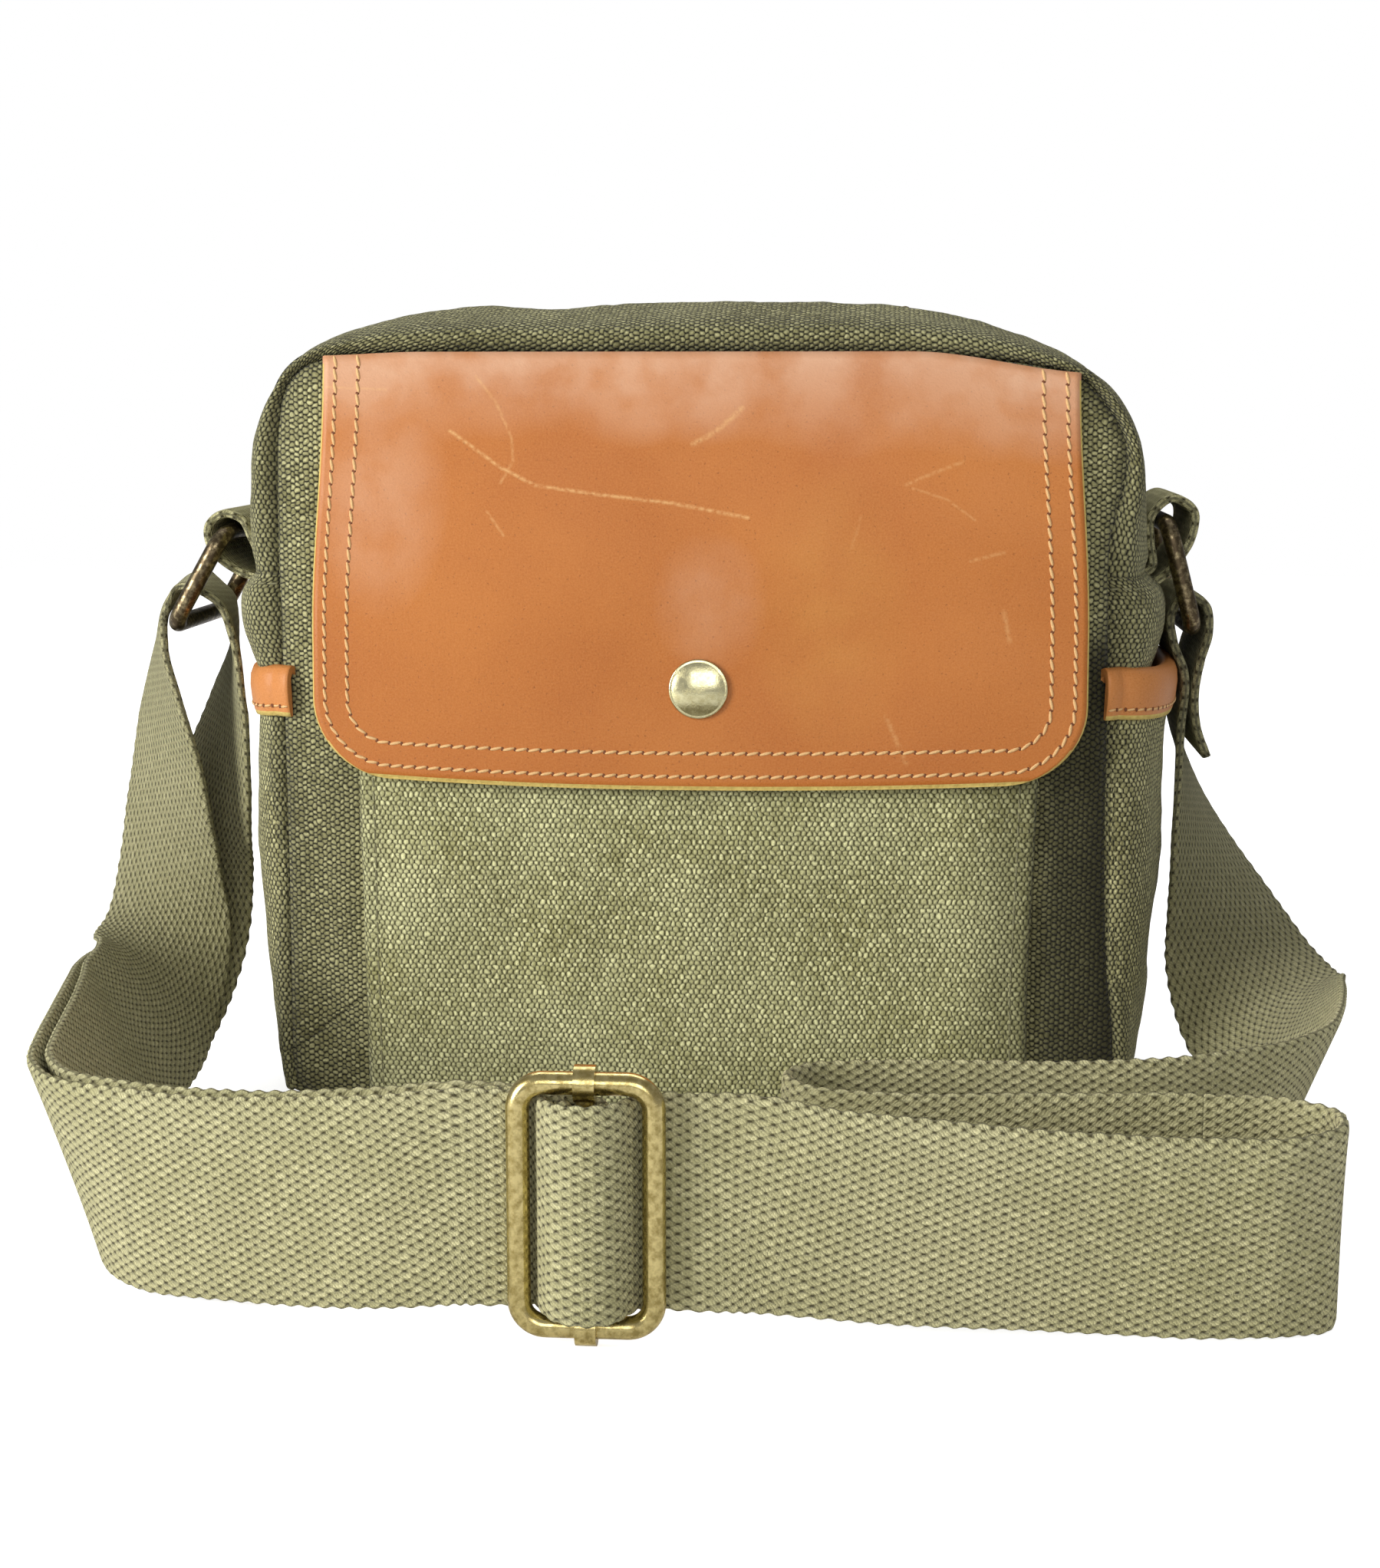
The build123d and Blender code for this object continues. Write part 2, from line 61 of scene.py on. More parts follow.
# ---- materials
class Graph:
    """One material's nodes.  Inputs may be numbers, colours or other nodes' outputs."""

    def __init__(self, name, **sockets):
        self.material = bpy.data.materials.new(name)
        self.material.use_nodes = True
        self.tree = self.material.node_tree
        self.shader = self.tree.nodes["Principled BSDF"]
        self.set(**sockets)

    def set(self, **sockets):
        """Gives the shader's own inputs, by their names with underscores."""
        for key, value in sockets.items():
            self.put(self.shader.inputs[key.replace("_", " ")], value)

    def put(self, socket, value):
        if isinstance(value, bpy.types.NodeSocket):
            self.tree.links.new(value, socket)
        elif isinstance(value, (tuple, list)) and len(value) == 3 and len(socket.default_value) == 4:
            socket.default_value = (*value, 1)
        else:
            socket.default_value = value

    def node(self, kind, inputs=None, **settings):
        made = self.tree.nodes.new("ShaderNode" + kind)
        for key, value in settings.items():
            setattr(made, key, value)
        for key, value in (inputs or {}).items():
            self.put(made.inputs[key], value)
        return made

    def math(self, operation, *values, clamp=False):
        return self.node("Math", dict(enumerate(values)), operation=operation, use_clamp=clamp).outputs[0]

    def add(self, a, b, clamp=False):
        return self.math("ADD", a, b, clamp=clamp)

    def times(self, a, b, clamp=False):
        return self.math("MULTIPLY", a, b, clamp=clamp)

    def less(self, a, b):
        return self.math("SUBTRACT", a, b)

    def mix(self, factor, low, high):
        return self.node("Mix", {0: factor, 6: low, 7: high}, data_type="RGBA").outputs[2]

    def noise(self, vector, scale, detail):
        return self.node("TexNoise", {"Vector": vector, "Scale": scale, "Detail": detail}).outputs[0]

    def ramp(self, value, low, high, start=0.0, end=1.0):
        return self.node("MapRange", {0: value, 1: low, 2: high, 3: start, 4: end}, clamp=True).outputs[0]

    def cloth(self):
        """The piece's flat place in mm as a vector, then its three parts: across, along, painted shade."""
        vector = self.node("Attribute", attribute_name="cloth").outputs["Vector"]
        return vector, *self.node("SeparateXYZ", {0: vector}).outputs

    def bump(self, height, distance, strength=1.0):
        inputs = {"Height": height, "Distance": distance * MM, "Strength": strength}
        self.set(Normal=self.node("Bump", inputs).outputs[0])


def scaled(colour, factor, lift=0.0):
    return tuple(min(1, c * factor + lift) for c in colour)


def crowns(g, u, v, across, along, flatness):
    """The tops of a plain weave's threads: 1 on each, 0 between them, every other row offset.

    flatness is how much sooner a thread falls away along v than across u.
    """
    a = g.times(u, math.pi / across)
    b = g.times(v, math.pi / along)
    rows = []
    for wave in ("COSINE", "SINE"):
        wide = g.math("POWER", g.math("ABSOLUTE", g.math(wave, a)), 1 / flatness)
        narrow = g.math("POWER", g.math("ABSOLUTE", g.math(wave, b)), flatness)
        rows.append(g.times(wide, narrow))
    return g.math("MAXIMUM", *rows)


def per_crown(g, u, v, across, along):
    """A random value for each thread's top."""
    cell_u = g.math("ROUND", g.times(u, 2 / across))
    cell_v = g.math("ROUND", g.times(v, 2 / along))
    cell = g.node("CombineXYZ", {0: cell_u, 1: cell_v}).outputs[0]
    return g.node("TexWhiteNoise", {"Vector": cell}, noise_dimensions="2D").outputs["Value"]


def woven(name, gap, thread, washed, across, along, height, flatness=1.0, shown=(0.2, 0.8),
          wobble=0.3, wash=0.035, ply=0.0, speckle=0.68):
    """Heavy cotton cloth: gap is the colour between threads, thread theirs, washed where faded.

    The cloth attribute's third part is painted shade: how far the colour is darkened toward a deep tone.
    """
    g = Graph(name, Roughness=0.92, Sheen_Weight=0.08, Sheen_Roughness=0.6, Specular_IOR_Level=0.15)
    vector, u, v, painted_shade = g.cloth()
    u = g.add(u, g.ramp(g.noise(vector, 0.45, 1), 0.25, 0.75, -wobble, wobble))
    v = g.add(v, g.ramp(g.noise(vector, 0.62, 1), 0.25, 0.75, -wobble, wobble))
    top = crowns(g, u, v, across, along, flatness)
    chance = per_crown(g, u, v, across, along)
    faded = g.ramp(g.noise(vector, wash, 5), 0.34, 0.66)
    body = g.mix(faded, thread, washed)
    body = g.mix(g.ramp(chance, 0.4, 1.0, 0.0, speckle), body, scaled(washed, 1.6, 0.04))
    fibre = g.noise(vector, 2.6, 3)
    if ply:
        # Each thread is twisted from finer ones, which show as slanting strokes.
        slant = g.add(g.times(u, 7.5), g.times(v, 9.0))
        strokes = g.math("SINE", g.add(slant, g.times(fibre, 9.0)))
        body = g.mix(g.ramp(strokes, -1, 1, ply, 0), body, scaled(thread, 0.45))
    lit = g.times(g.ramp(top, *shown), g.ramp(fibre, 0.2, 0.7, 0.6, 1.1), clamp=True)
    tone = g.mix(lit, gap, body)
    # Painted shade, from the cloth attribute's third part, darkens the cloth toward a deep colour.
    g.set(Base_Color=g.mix(painted_shade, tone, g.mix(lit, scaled(gap, 0.3), scaled(thread, 0.25))))
    rise = g.times(top, g.ramp(chance, 0, 1, 0.75, 1.1))
    rise = g.add(rise, g.times(fibre, 0.25))
    if ply:
        rise = g.add(rise, g.times(strokes, 0.07))
    g.bump(rise, height)
    return g.material


def stroke(g, u, v, start, end, width, strength=1.0):
    """Strong along a scratch from start to end, fading to 0 at its sides."""
    dx, dz = end[0] - start[0], end[1] - start[1]
    length2 = dx * dx + dz * dz
    pu = g.less(u, start[0])
    pv = g.less(v, start[1])
    dot = g.add(g.times(pu, dx / length2), g.times(pv, dz / length2), clamp=True)
    off_u = g.less(pu, g.times(dot, dx))
    off_v = g.less(pv, g.times(dot, dz))
    gap = g.math("SQRT", g.add(g.times(off_u, off_u), g.times(off_v, off_v)))
    return g.ramp(gap, 0, width, strength, 0)


def oval(g, u, v, centre, half, end, strength):
    """Strong at centre, fading to 0 where the square of the distance, in half sizes, is end."""
    across = g.math("DIVIDE", g.less(u, centre[0]), half[0])
    along = g.math("DIVIDE", g.less(v, centre[1]), half[1])
    return g.ramp(g.add(g.times(across, across), g.times(along, along)), 0, end, strength, 0)


# Scratches on the flap: points in mm from the bag's middle and the floor, width, strength.
SCRATCHES = (
    ([(-52, 151), (-41, 143.3), (-33.6, 139.6), (-20, 137.8), (-4, 136), (12, 133)], 0.6, 0.6),
    ([(-46.4, 162.6), (-42, 157), (-38.7, 149.7), (-38.3, 144.7), (-41, 140)], 0.5, 0.35),
    ([(0.2, 148.5), (5, 151), (10.6, 156)], 0.8, 0.5),
    ([(45.5, 139.8), (57.5, 145.3)], 0.6, 0.3),
    ([(46.8, 139), (54, 137), (60, 133)], 0.45, 0.28),
    ([(59.3, 124.1), (66.2, 126.5)], 0.6, 0.3),
    ([(66.4, 113.5), (67.7, 107)], 0.8, 0.3),
    ([(-43.9, 133.8), (-40.3, 128.8)], 0.45, 0.4),
    ([(41.8, 90.5), (46.2, 80.5)], 0.8, 0.3),
    ([(-79, 161), (-66, 160)], 0.4, 0.3),
    ([(36, 133), (34, 126)], 0.6, 0.15),
)


def leather(name, deep, plain, pale, patina=True):
    """Waxed pull-up leather, made paler by painted sheen along its top bend and on its left, and paler over
    the snap.
    """
    g = Graph(name, Roughness=0.45, Specular_IOR_Level=0.3, Coat_Weight=0.05, Coat_Roughness=0.3)
    vector, u, v, _ = g.cloth()
    cloud = g.ramp(g.noise(vector, 0.022, 4), 0.36, 0.64)
    tone = g.mix(cloud, deep, plain)
    speck = g.ramp(g.noise(vector, 2.4, 3), 0.3, 0.72)
    tone = g.mix(g.times(speck, 0.35), tone, pale)
    pores = g.ramp(g.noise(vector, 1.5, 2), 0.27, 0.36, 0.5, 0)
    tone = g.mix(pores, tone, scaled(deep, 0.5))
    if patina:
        # Painted sheen: the bend along the top and a patch on the left side are made paler as highlights;
        # the spot over the snap is made paler too.
        fold = g.ramp(g.add(v, g.times(g.noise(vector, 0.03, 2), 22)), 158, 176, 0, 0.72)
        left = oval(g, u, v, (-68, 138), (11, 19), 2.2, 0.34)
        spot = oval(g, u, v, (4, 115), (9, 11), 2.0, 0.24)
        rubbed_and_sheen = g.math("MAXIMUM", g.math("MAXIMUM", fold, left), spot)
        worn_and_sheen = g.ramp(g.noise(vector, 0.09, 6), 0.34, 0.6, 0.45, 1.15)
        tone = g.mix(g.times(rubbed_and_sheen, worn_and_sheen), tone, (0.65, 0.38, 0.235))
        warm = oval(g, u, v, (30, 113), (12, 22), 2.2, 0.2)
        tone = g.mix(g.times(warm, worn_and_sheen), tone, (0.6, 0.3, 0.06))
        marks = 0.0
        broken = g.ramp(g.noise(vector, 0.9, 4), 0.34, 0.6)
        for points, width, strength in SCRATCHES:
            for start, end in zip(points, points[1:]):
                marks = g.math("MAXIMUM", marks, stroke(g, u, v, start, end, width, strength))
        tone = g.mix(g.times(marks, broken), tone, (0.78, 0.48, 0.19))
    g.set(Base_Color=tone)
    pebble = g.node("TexVoronoi", {"Vector": vector, "Scale": 1.1}, feature="SMOOTH_F1").outputs["Distance"]
    rise = g.add(g.times(pebble, 0.6), g.noise(vector, 2.0, 3))
    rise = g.less(rise, g.times(pores, 0.8))
    g.bump(rise, 0.1, 0.6)
    g.set(Roughness=g.ramp(g.noise(vector, 0.05, 3), 0.3, 0.7, 0.42, 0.55))
    return g.material


def brass(name, worn_and_sheen, dark, wear, roughness):
    """Antique brass: brown patina, rubbed bright in patches."""
    g = Graph(name, Metallic=1.0, Roughness=roughness)
    vector = g.node("TexCoord").outputs["Object"]
    patches = g.noise(vector, 760, 5)
    grit = g.noise(vector, 2600, 3)
    rubbed_and_sheen = g.ramp(g.add(patches, g.times(grit, 0.3)), wear, wear + 0.3)
    g.set(Base_Color=g.mix(rubbed_and_sheen, dark, worn_and_sheen))
    g.set(Roughness=g.ramp(rubbed_and_sheen, 0, 1, roughness + 0.1, roughness - 0.04))
    g.bump(g.add(patches, grit), 0.04, 0.35)
    return g.material


def grainy(name, dark, pale, roughness=0.8, grain=900.0, depth=0.08, detail=3):
    """Two colours mixed by a fine grain, for cut leather and small parts."""
    g = Graph(name, Roughness=roughness)
    speck = g.noise(g.node("TexCoord").outputs["Object"], grain, detail)
    g.set(Base_Color=g.mix(speck, dark, pale))
    g.bump(speck, depth)
    return g.material


def plain(name, colour, *args):
    return grainy(name, scaled(colour, 0.7), scaled(colour, 1.25), *args)


CANVAS_WEAVE = (1.31, 2.13)     # two threads across, and along
RIB = 3.2                       # two threads along the webbing
CANVAS = woven("canvas", (0.012, 0.011, 0.004), (0.27, 0.25, 0.105), (0.46, 0.435, 0.215),
               *CANVAS_WEAVE, 0.5, flatness=1.7, shown=(0.34, 0.86))
POCKET = woven("pocket_canvas", (0.04, 0.037, 0.01), (0.4, 0.38, 0.165), (0.6, 0.585, 0.31),
               *CANVAS_WEAVE, 0.42, flatness=1.7, shown=(0.26, 0.85))
WEBBING = woven("webbing", (0.06, 0.05, 0.018), (0.49, 0.46, 0.23), (0.6, 0.56, 0.31),
                1.72, RIB, 0.7, shown=(0.16, 0.64), wobble=0.16, wash=0.02, ply=0.4, speckle=0.36)
LINING = woven("lining", (0.08, 0.06, 0.03), (0.34, 0.27, 0.17), (0.4, 0.33, 0.22), 0.5, 0.8, 0.1)
TAPE = woven("zip_tape", (0.02, 0.018, 0.012), (0.09, 0.08, 0.05), (0.12, 0.11, 0.07), 0.6, 0.9, 0.1)
LEATHER = leather("leather", (0.4, 0.112, 0.014), (0.47, 0.15, 0.024), (0.6, 0.25, 0.065))
RIM_LEATHER = leather("rim_leather", (0.5, 0.175, 0.04), (0.6, 0.23, 0.06), (0.72, 0.34, 0.12),
                      patina=False)
RAW = grainy("raw_edge", (0.42, 0.27, 0.05), (0.78, 0.62, 0.2), 0.85, depth=0.3, detail=4)
THREAD = plain("thread", (0.74, 0.46, 0.2), 0.8, 2600, 0.15)
CANVAS_THREAD = plain("canvas_thread", (0.2, 0.19, 0.1), 0.8, 2600, 0.15)
HOLE = plain("needle_hole", (0.17, 0.052, 0.016))
BRASS = brass("brass", (0.68, 0.56, 0.25), (0.36, 0.28, 0.1), wear=0.48, roughness=0.22)
DARK_BRASS = brass("dark_brass", (0.42, 0.34, 0.19), (0.09, 0.066, 0.038), wear=0.6, roughness=0.27)
CAP_BRASS = brass("cap_brass", (0.68, 0.63, 0.38), (0.58, 0.52, 0.28), wear=0.46, roughness=0.22)
COIL = plain("zip_coil", (0.16, 0.13, 0.08), 0.45)
BOARD = plain("board", (0.05, 0.045, 0.04), 0.6)


# ---- mesh helpers
def run_length(points):
    """How far along a line each of its points is."""
    return np.concatenate([[0], np.cumsum(np.linalg.norm(np.diff(points, axis=0), axis=1))])


class Curve:
    """A smooth curve through rows of numbers, measured along their first columns."""

    def __init__(self, rows, measured=3):
        self.rows = np.array(rows, float)
        self.knots = run_length(self.rows[:, :measured])
        self.slopes = np.gradient(self.rows, self.knots, axis=0)

    def at(self, s):
        s = np.asarray(s, float)
        k = np.clip(np.searchsorted(self.knots, s, side="right") - 1, 0, len(self.knots) - 2)
        h = (self.knots[k + 1] - self.knots[k])[..., None]
        t = (s - self.knots[k])[..., None] / h
        a, b = self.rows[k], self.rows[k + 1]
        into, out = self.slopes[k] * h, self.slopes[k + 1] * h
        t2, t3 = t * t, t * t * t
        ends = a * (2 * t3 - 3 * t2 + 1) + into * (t3 - 2 * t2 + t)
        return ends + b * (3 * t2 - 2 * t3) + out * (t3 - t2)

    def places(self, first, last, step):
        start, end = self.knots[first], self.knots[last]
        return np.linspace(start, end, max(2, int((end - start) / step) + 1))


def smooth(x):
    x = np.clip(x, 0, 1)
    return x * x * (3 - 2 * x)


def unit(vectors):
    return vectors / np.maximum(np.linalg.norm(vectors, axis=-1, keepdims=True), 1e-9)


def ridge(x, middle, width):
    return np.exp(-((x - middle) / width) ** 2)


def facing(grid, axis, sign):
    """Normals that all point one way."""
    out = np.zeros_like(grid)
    out[..., axis] = sign
    return out


def pointing(out, axis, side):
    """Directions, turned round where they point away from side along an axis."""
    return np.where(out[..., axis:axis + 1] * side < 0, -out, out)


def placed(name, data):
    """A new object in the scene."""
    obj = bpy.data.objects.new(name, data)
    bpy.context.scene.collection.objects.link(obj)
    return obj


def piece(name, points, faces, materials, body, cloth, which=None, replaces=(), ends=0):
    """Makes one object from points in mm; its last faces, as many as ends says, are flat.

    body is a body's name, which it is attached to; two names and where a bend between them starts and ends
    are not used, and leave the object unattached.
    """
    mesh = bpy.data.meshes.new(name)
    mesh.from_pydata((np.asarray(points, float).reshape(-1, 3) * MM).tolist(), [], faces)
    layer = mesh.attributes.new("cloth", "FLOAT_VECTOR", "POINT")
    layer.data.foreach_set("vector", np.asarray(cloth, np.float32).ravel())
    for material in materials:
        mesh.materials.append(material)
    mesh.polygons.foreach_set("use_smooth", [k < len(faces) - ends for k in range(len(faces))])
    if which is not None:
        mesh.polygons.foreach_set("material_index", which)
    mesh.update()
    obj = placed(name, mesh)
    if replaces:
        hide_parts(*replaces)
    if isinstance(body, str):
        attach(obj, body)
    else:
        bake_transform(obj)
    return obj


def laid_flat(grid):
    """Each place's distance across and along the cloth, across measured from its middle."""
    across = np.linalg.norm(np.diff(grid, axis=1, prepend=grid[:, :1]), axis=2).cumsum(axis=1)
    middle = grid.shape[1] // 2
    across = across - across[:, middle:middle + 1]
    along = np.linalg.norm(np.diff(grid, axis=0, prepend=grid[:1]), axis=2).cumsum(axis=0)
    along = np.broadcast_to(along.mean(axis=1, keepdims=True), across.shape)
    return np.stack([across, along], axis=-1)


def grid_normals(grid):
    along_rows = np.gradient(grid, axis=0)
    along_columns = np.gradient(grid, axis=1)
    return unit(np.cross(along_columns, along_rows))


def wrinkled(grid, normals, amount, size, hold, seed):
    """Cloth pushed in and out along its normals by smooth noise, less where hold is small."""
    shape = grid.shape[:2]
    flat = grid.reshape(-1, 3) / size + seed
    push = np.array([noise.fractal(Vector(p), 0.8, 2.0, 3) for p in flat]).reshape(shape) * hold
    return grid + normals * (push * amount)[..., None]


def shell(name, grid, cloth, thickness, materials, body, replaces, edge_mask=None, normals=None,
          painted_shade=0.0, turned=False):
    """A closed sheet from a grid of its outer face, which turned reverses so that it looks outwards.

    Its edges and the faces in edge_mask take the second material, if any, and its inner face the
    third.  The painted shade given for the outer face darkens it as woven reads it; the inner face gets a
    fixed half.
    """
    rows, columns = grid.shape[:2]
    out = grid_normals(grid) if normals is None else normals
    painted_shade = np.broadcast_to(painted_shade, (rows, columns))
    if turned:
        grid, cloth, out, painted_shade = (table[:, ::-1] for table in (grid, cloth, out, painted_shade))
    inner = grid - out * thickness
    points = np.concatenate([grid.reshape(-1, 3), inner.reshape(-1, 3)])
    count = rows * columns
    flat = np.zeros((2 * count, 3))
    flat[:, :2] = np.concatenate([cloth.reshape(-1, 2)] * 2)
    flat[:count, 2] = painted_shade.ravel()
    flat[count:, 2] = 0.5
    faces, which = [], []
    for i in range(rows - 1):
        for j in range(columns - 1):
            a = i * columns + j
            quad = (a, a + 1, a + columns + 1, a + columns)
            faces.append(quad)
            which.append(1 if edge_mask is not None and edge_mask[i, j] else 0)
            faces.append(tuple(count + k for k in reversed(quad)))
            which.append(2 if len(materials) > 2 else 0)
    border = list(range(columns))
    border += [i * columns + columns - 1 for i in range(1, rows)]
    border += [(rows - 1) * columns + j for j in range(columns - 2, -1, -1)]
    border += [i * columns for i in range(rows - 2, 0, -1)]
    for a, b in zip(border, border[1:] + border[:1]):
        faces.append((b, a, count + a, count + b))
        which.append(1 if len(materials) > 1 else 0)
    return piece(name, points, faces, materials, body, flat, which, replaces)


def tube(name, rings, cloth, materials, body, replaces, which_column=None):
    """A closed body through rings of points; cloth gives each point's flat place."""
    rows, columns = rings.shape[:2]
    faces, which = [], []
    for i in range(rows - 1):
        for j in range(columns):
            a, b = i * columns + j, i * columns + (j + 1) % columns
            faces.append((a, b, b + columns, a + columns))
            which.append(which_column[j] if which_column else 0)
    faces.append(tuple(range(columns - 1, -1, -1)))
    faces.append(tuple((rows - 1) * columns + j for j in range(columns)))
    return piece(name, rings, faces, materials, body, cloth, which + [0, 0], replaces, ends=2)


def beads(name, places, along, out, size, material, body, tilt=0.0, sides=8, rounds=5):
    """Many small rounded pieces: stitches, needle holes or zip teeth.

    size is length, width and height; tilt turns each about its out direction, in degrees.
    """
    places, along, out = (np.asarray(a, float) for a in (places, along, out))
    along = unit(along - out * np.sum(along * out, axis=1, keepdims=True))
    across = np.cross(out, along)
    c, s = math.cos(math.radians(tilt)), math.sin(math.radians(tilt))
    along, across = along * c + across * s, across * c - along * s
    unit_points = [(-1.0, 0.0, 0.0)]
    for i in range(1, rounds):
        x = -math.cos(math.pi * i / rounds)
        radius = (1 - abs(x) ** 2.6) ** 0.5
        for j in range(sides):
            angle = 2 * math.pi * j / sides
            unit_points.append((x, radius * math.cos(angle), radius * math.sin(angle)))
    unit_points.append((1.0, 0.0, 0.0))
    template = np.array(unit_points) * np.array(size) / 2

    def ring(i, j):
        return 1 + (i - 1) * sides + j % sides

    cell = []
    for j in range(sides):
        cell.append((0, ring(1, j + 1), ring(1, j)))
        cell.append((len(unit_points) - 1, ring(rounds - 1, j), ring(rounds - 1, j + 1)))
        for i in range(1, rounds - 1):
            cell.append((ring(i, j), ring(i, j + 1), ring(i + 1, j + 1), ring(i + 1, j)))
    points, faces, cloth = [], [], []
    for k in range(len(places)):
        basis = np.stack([along[k], across[k], out[k]])
        points.append(template @ basis + places[k])
        faces += [tuple(len(template) * k + v for v in face) for face in cell]
        cloth.append(template + np.array([0, k * 3.0, 0]))
    return piece(name, np.concatenate(points), faces, [material], body, np.concatenate(cloth))


def stitch_line(name, path, out, pitch, size, material, body, holes=None, tilt=4, sink=0.1):
    """Stitches, and the needle holes between them, along a path of close points."""
    run = run_length(path)
    count = max(2, int(run[-1] / pitch))
    at = (np.arange(count) + 0.5) * run[-1] / count

    def pick(table, s):
        return np.stack([np.interp(s, run, table[:, k]) for k in range(3)], axis=1)

    def ahead(s):
        return pick(path, s + 0.4) - pick(path, s - 0.4)

    ups = unit(pick(out, at))
    beads(name, pick(path, at) - ups * sink, ahead(at), ups, size, material, body, tilt)
    if holes is not None:
        between = at[:-1] + run[-1] / count / 2
        beads(name + "_holes", pick(path, between), ahead(between), unit(pick(out, between)), NEEDLE_HOLE,
              holes, body, sides=6, rounds=4)


# ---- body of the bag
# The seam round the front and back panels, and the widest line half way between them:
# seam x, seam z, widest x, widest z.  It runs up the left side, over the top, down the
# right side and back under the base.
BODY_LINE = [
    (-91, 12, -97.5, 11), (-90.8, 35, -98.5, 35), (-90.7, 60, -98.5, 60), (-90.8, 80, -98.5, 80),
    (-90.9, 94, -99.3, 94), (-91, 102, -103, 102), (-91, 110, -106.3, 110), (-91.2, 116.5, -105, 116.5),
    (-91.3, 120, -101, 120), (-91.3, 124, -101.7, 124), (-91.2, 137, -101.9, 137.5),
    (-90.8, 149, -100, 149.5), (-89.3, 159, -94.4, 159.3), (-85.6, 164.2, -85.3, 169.6),
    (-77, 166.6, -69.5, 175.5), (-60, 167.4, -54, 177.3), (-35, 167.5, -33, 178.3), (-8, 167.5, -8, 179),
    (18, 167.5, 18, 179.1), (43, 167.2, 43, 178.3), (62, 166.2, 60, 175), (75, 164.4, 74, 170),
    (83, 161.6, 86, 163.2), (87.3, 156.9, 93, 156.3), (91, 150.9, 97, 148.5), (92, 145, 98.6, 141),
    (91.1, 138, 98.9, 134), (89.6, 131.8, 99.3, 128), (88.8, 125, 99.5, 123.5), (88.6, 120, 99.3, 120),
    (88.8, 116.5, 103, 116.5), (89, 110, 104.6, 110), (89.2, 102, 102.5, 102), (89.3, 94, 99.6, 94),
    (89.4, 80, 98, 80), (89.5, 60, 98, 60), (90.6, 35, 98, 35), (92.4, 14, 98.5, 12),
    (91.5, 5, 96.5, 3), (84, 1.2, 87, 0.5), (60, 0.5, 62, 0.2), (0, 0.5, 0, 0.2), (-60, 0.5, -62, 0.2),
    (-83, 1.2, -87, 0.5), (-89.8, 5, -95.5, 3), (-91, 12, -97.5, 11),
]
LEFT_TAB_SEAM, ZIP_LEFT, ZIP_RIGHT, RIGHT_TAB_SEAM, RIGHT_BASE = 8, 15, 20, 29, 37
body_line = Curve(BODY_LINE, measured=4)
ZIP_HALF = 62.0             # half the zip's length
ZIP_SLOT = 8.0              # half the slot's width
ZIP_FLOOR_Z = 174.7         # where the top sinks to
TAB_HALF = 21.0             # the tab and a little beside it


def body_cloth(first, last, y0, y1):
    """The side, top or base cloth, its flat places and normals, between two rows and two depths."""
    s = body_line.places(first, last, 2.0)
    rows = body_line.at(s)
    turn0, turn1 = (math.acos(-y / HALF_DEPTH) for y in (y0, y1))
    turn = np.linspace(turn0, turn1, max(4, int((turn1 - turn0) * 16)))
    swell = np.sqrt(np.sin(turn).clip(0, 1))[None, :, None]
    y = (-np.cos(turn) * HALF_DEPTH)[None, :] * np.ones((len(s), 1))
    flat_xz = rows[:, None, 0:2] * (1 - swell) + rows[:, None, 2:4] * swell
    grid = np.stack([flat_xz[..., 0], y, flat_xz[..., 1]], axis=-1)
    swell = swell[..., 0]
    # Near each seam the stuffed edge rolls a little past the panel it is sewn to.
    upper = smooth((rows[:, 3] - 104) / 56)[:, None]
    roll = 2.4 * upper * np.sin(np.pi * np.clip(swell / 0.9, 0, 1)) ** 2
    grid[..., 1] += np.sign(y) * roll
    # The top sinks to the zip between its two rolled edges.
    top = smooth((grid[..., 2] - 150) / 20) * smooth((90 - np.abs(grid[..., 0])) / 26)
    sunk = smooth((25 - np.abs(grid[..., 1])) / 17)
    grid[..., 2] += 1.1 * top * ridge(np.abs(grid[..., 1]), 30, 9)
    grid[..., 2] -= np.maximum(grid[..., 2] - ZIP_FLOOR_Z, 0) * top * sunk
    out = -grid_normals(grid)
    hold = np.clip(swell * 1.3 - 0.3, 0, 1) * smooth(grid[..., 2] / 14) * (1 - top * sunk)
    grid = wrinkled(grid, out, 1.1, 30.0, hold, seed=4.2)
    grid = wrinkled(grid, out, 0.35, 9.0, hold, seed=1.7)
    return grid, laid_flat(grid), out


def body_piece(name, first, last, depths, node):
    grid, cloth, out = body_cloth(first, last, *depths)
    # Painted shade: this cloth is darkened a little all over, and more along its seams.
    painted_shade = 0.12 + 0.25 * ridge(np.abs(grid[..., 1]), HALF_DEPTH, 3)
    obj = shell(name, grid, cloth, CANVAS_THICK, [CANVAS], "bag", [node], normals=out, painted_shade=painted_shade,
                turned=True)
    return grid, out


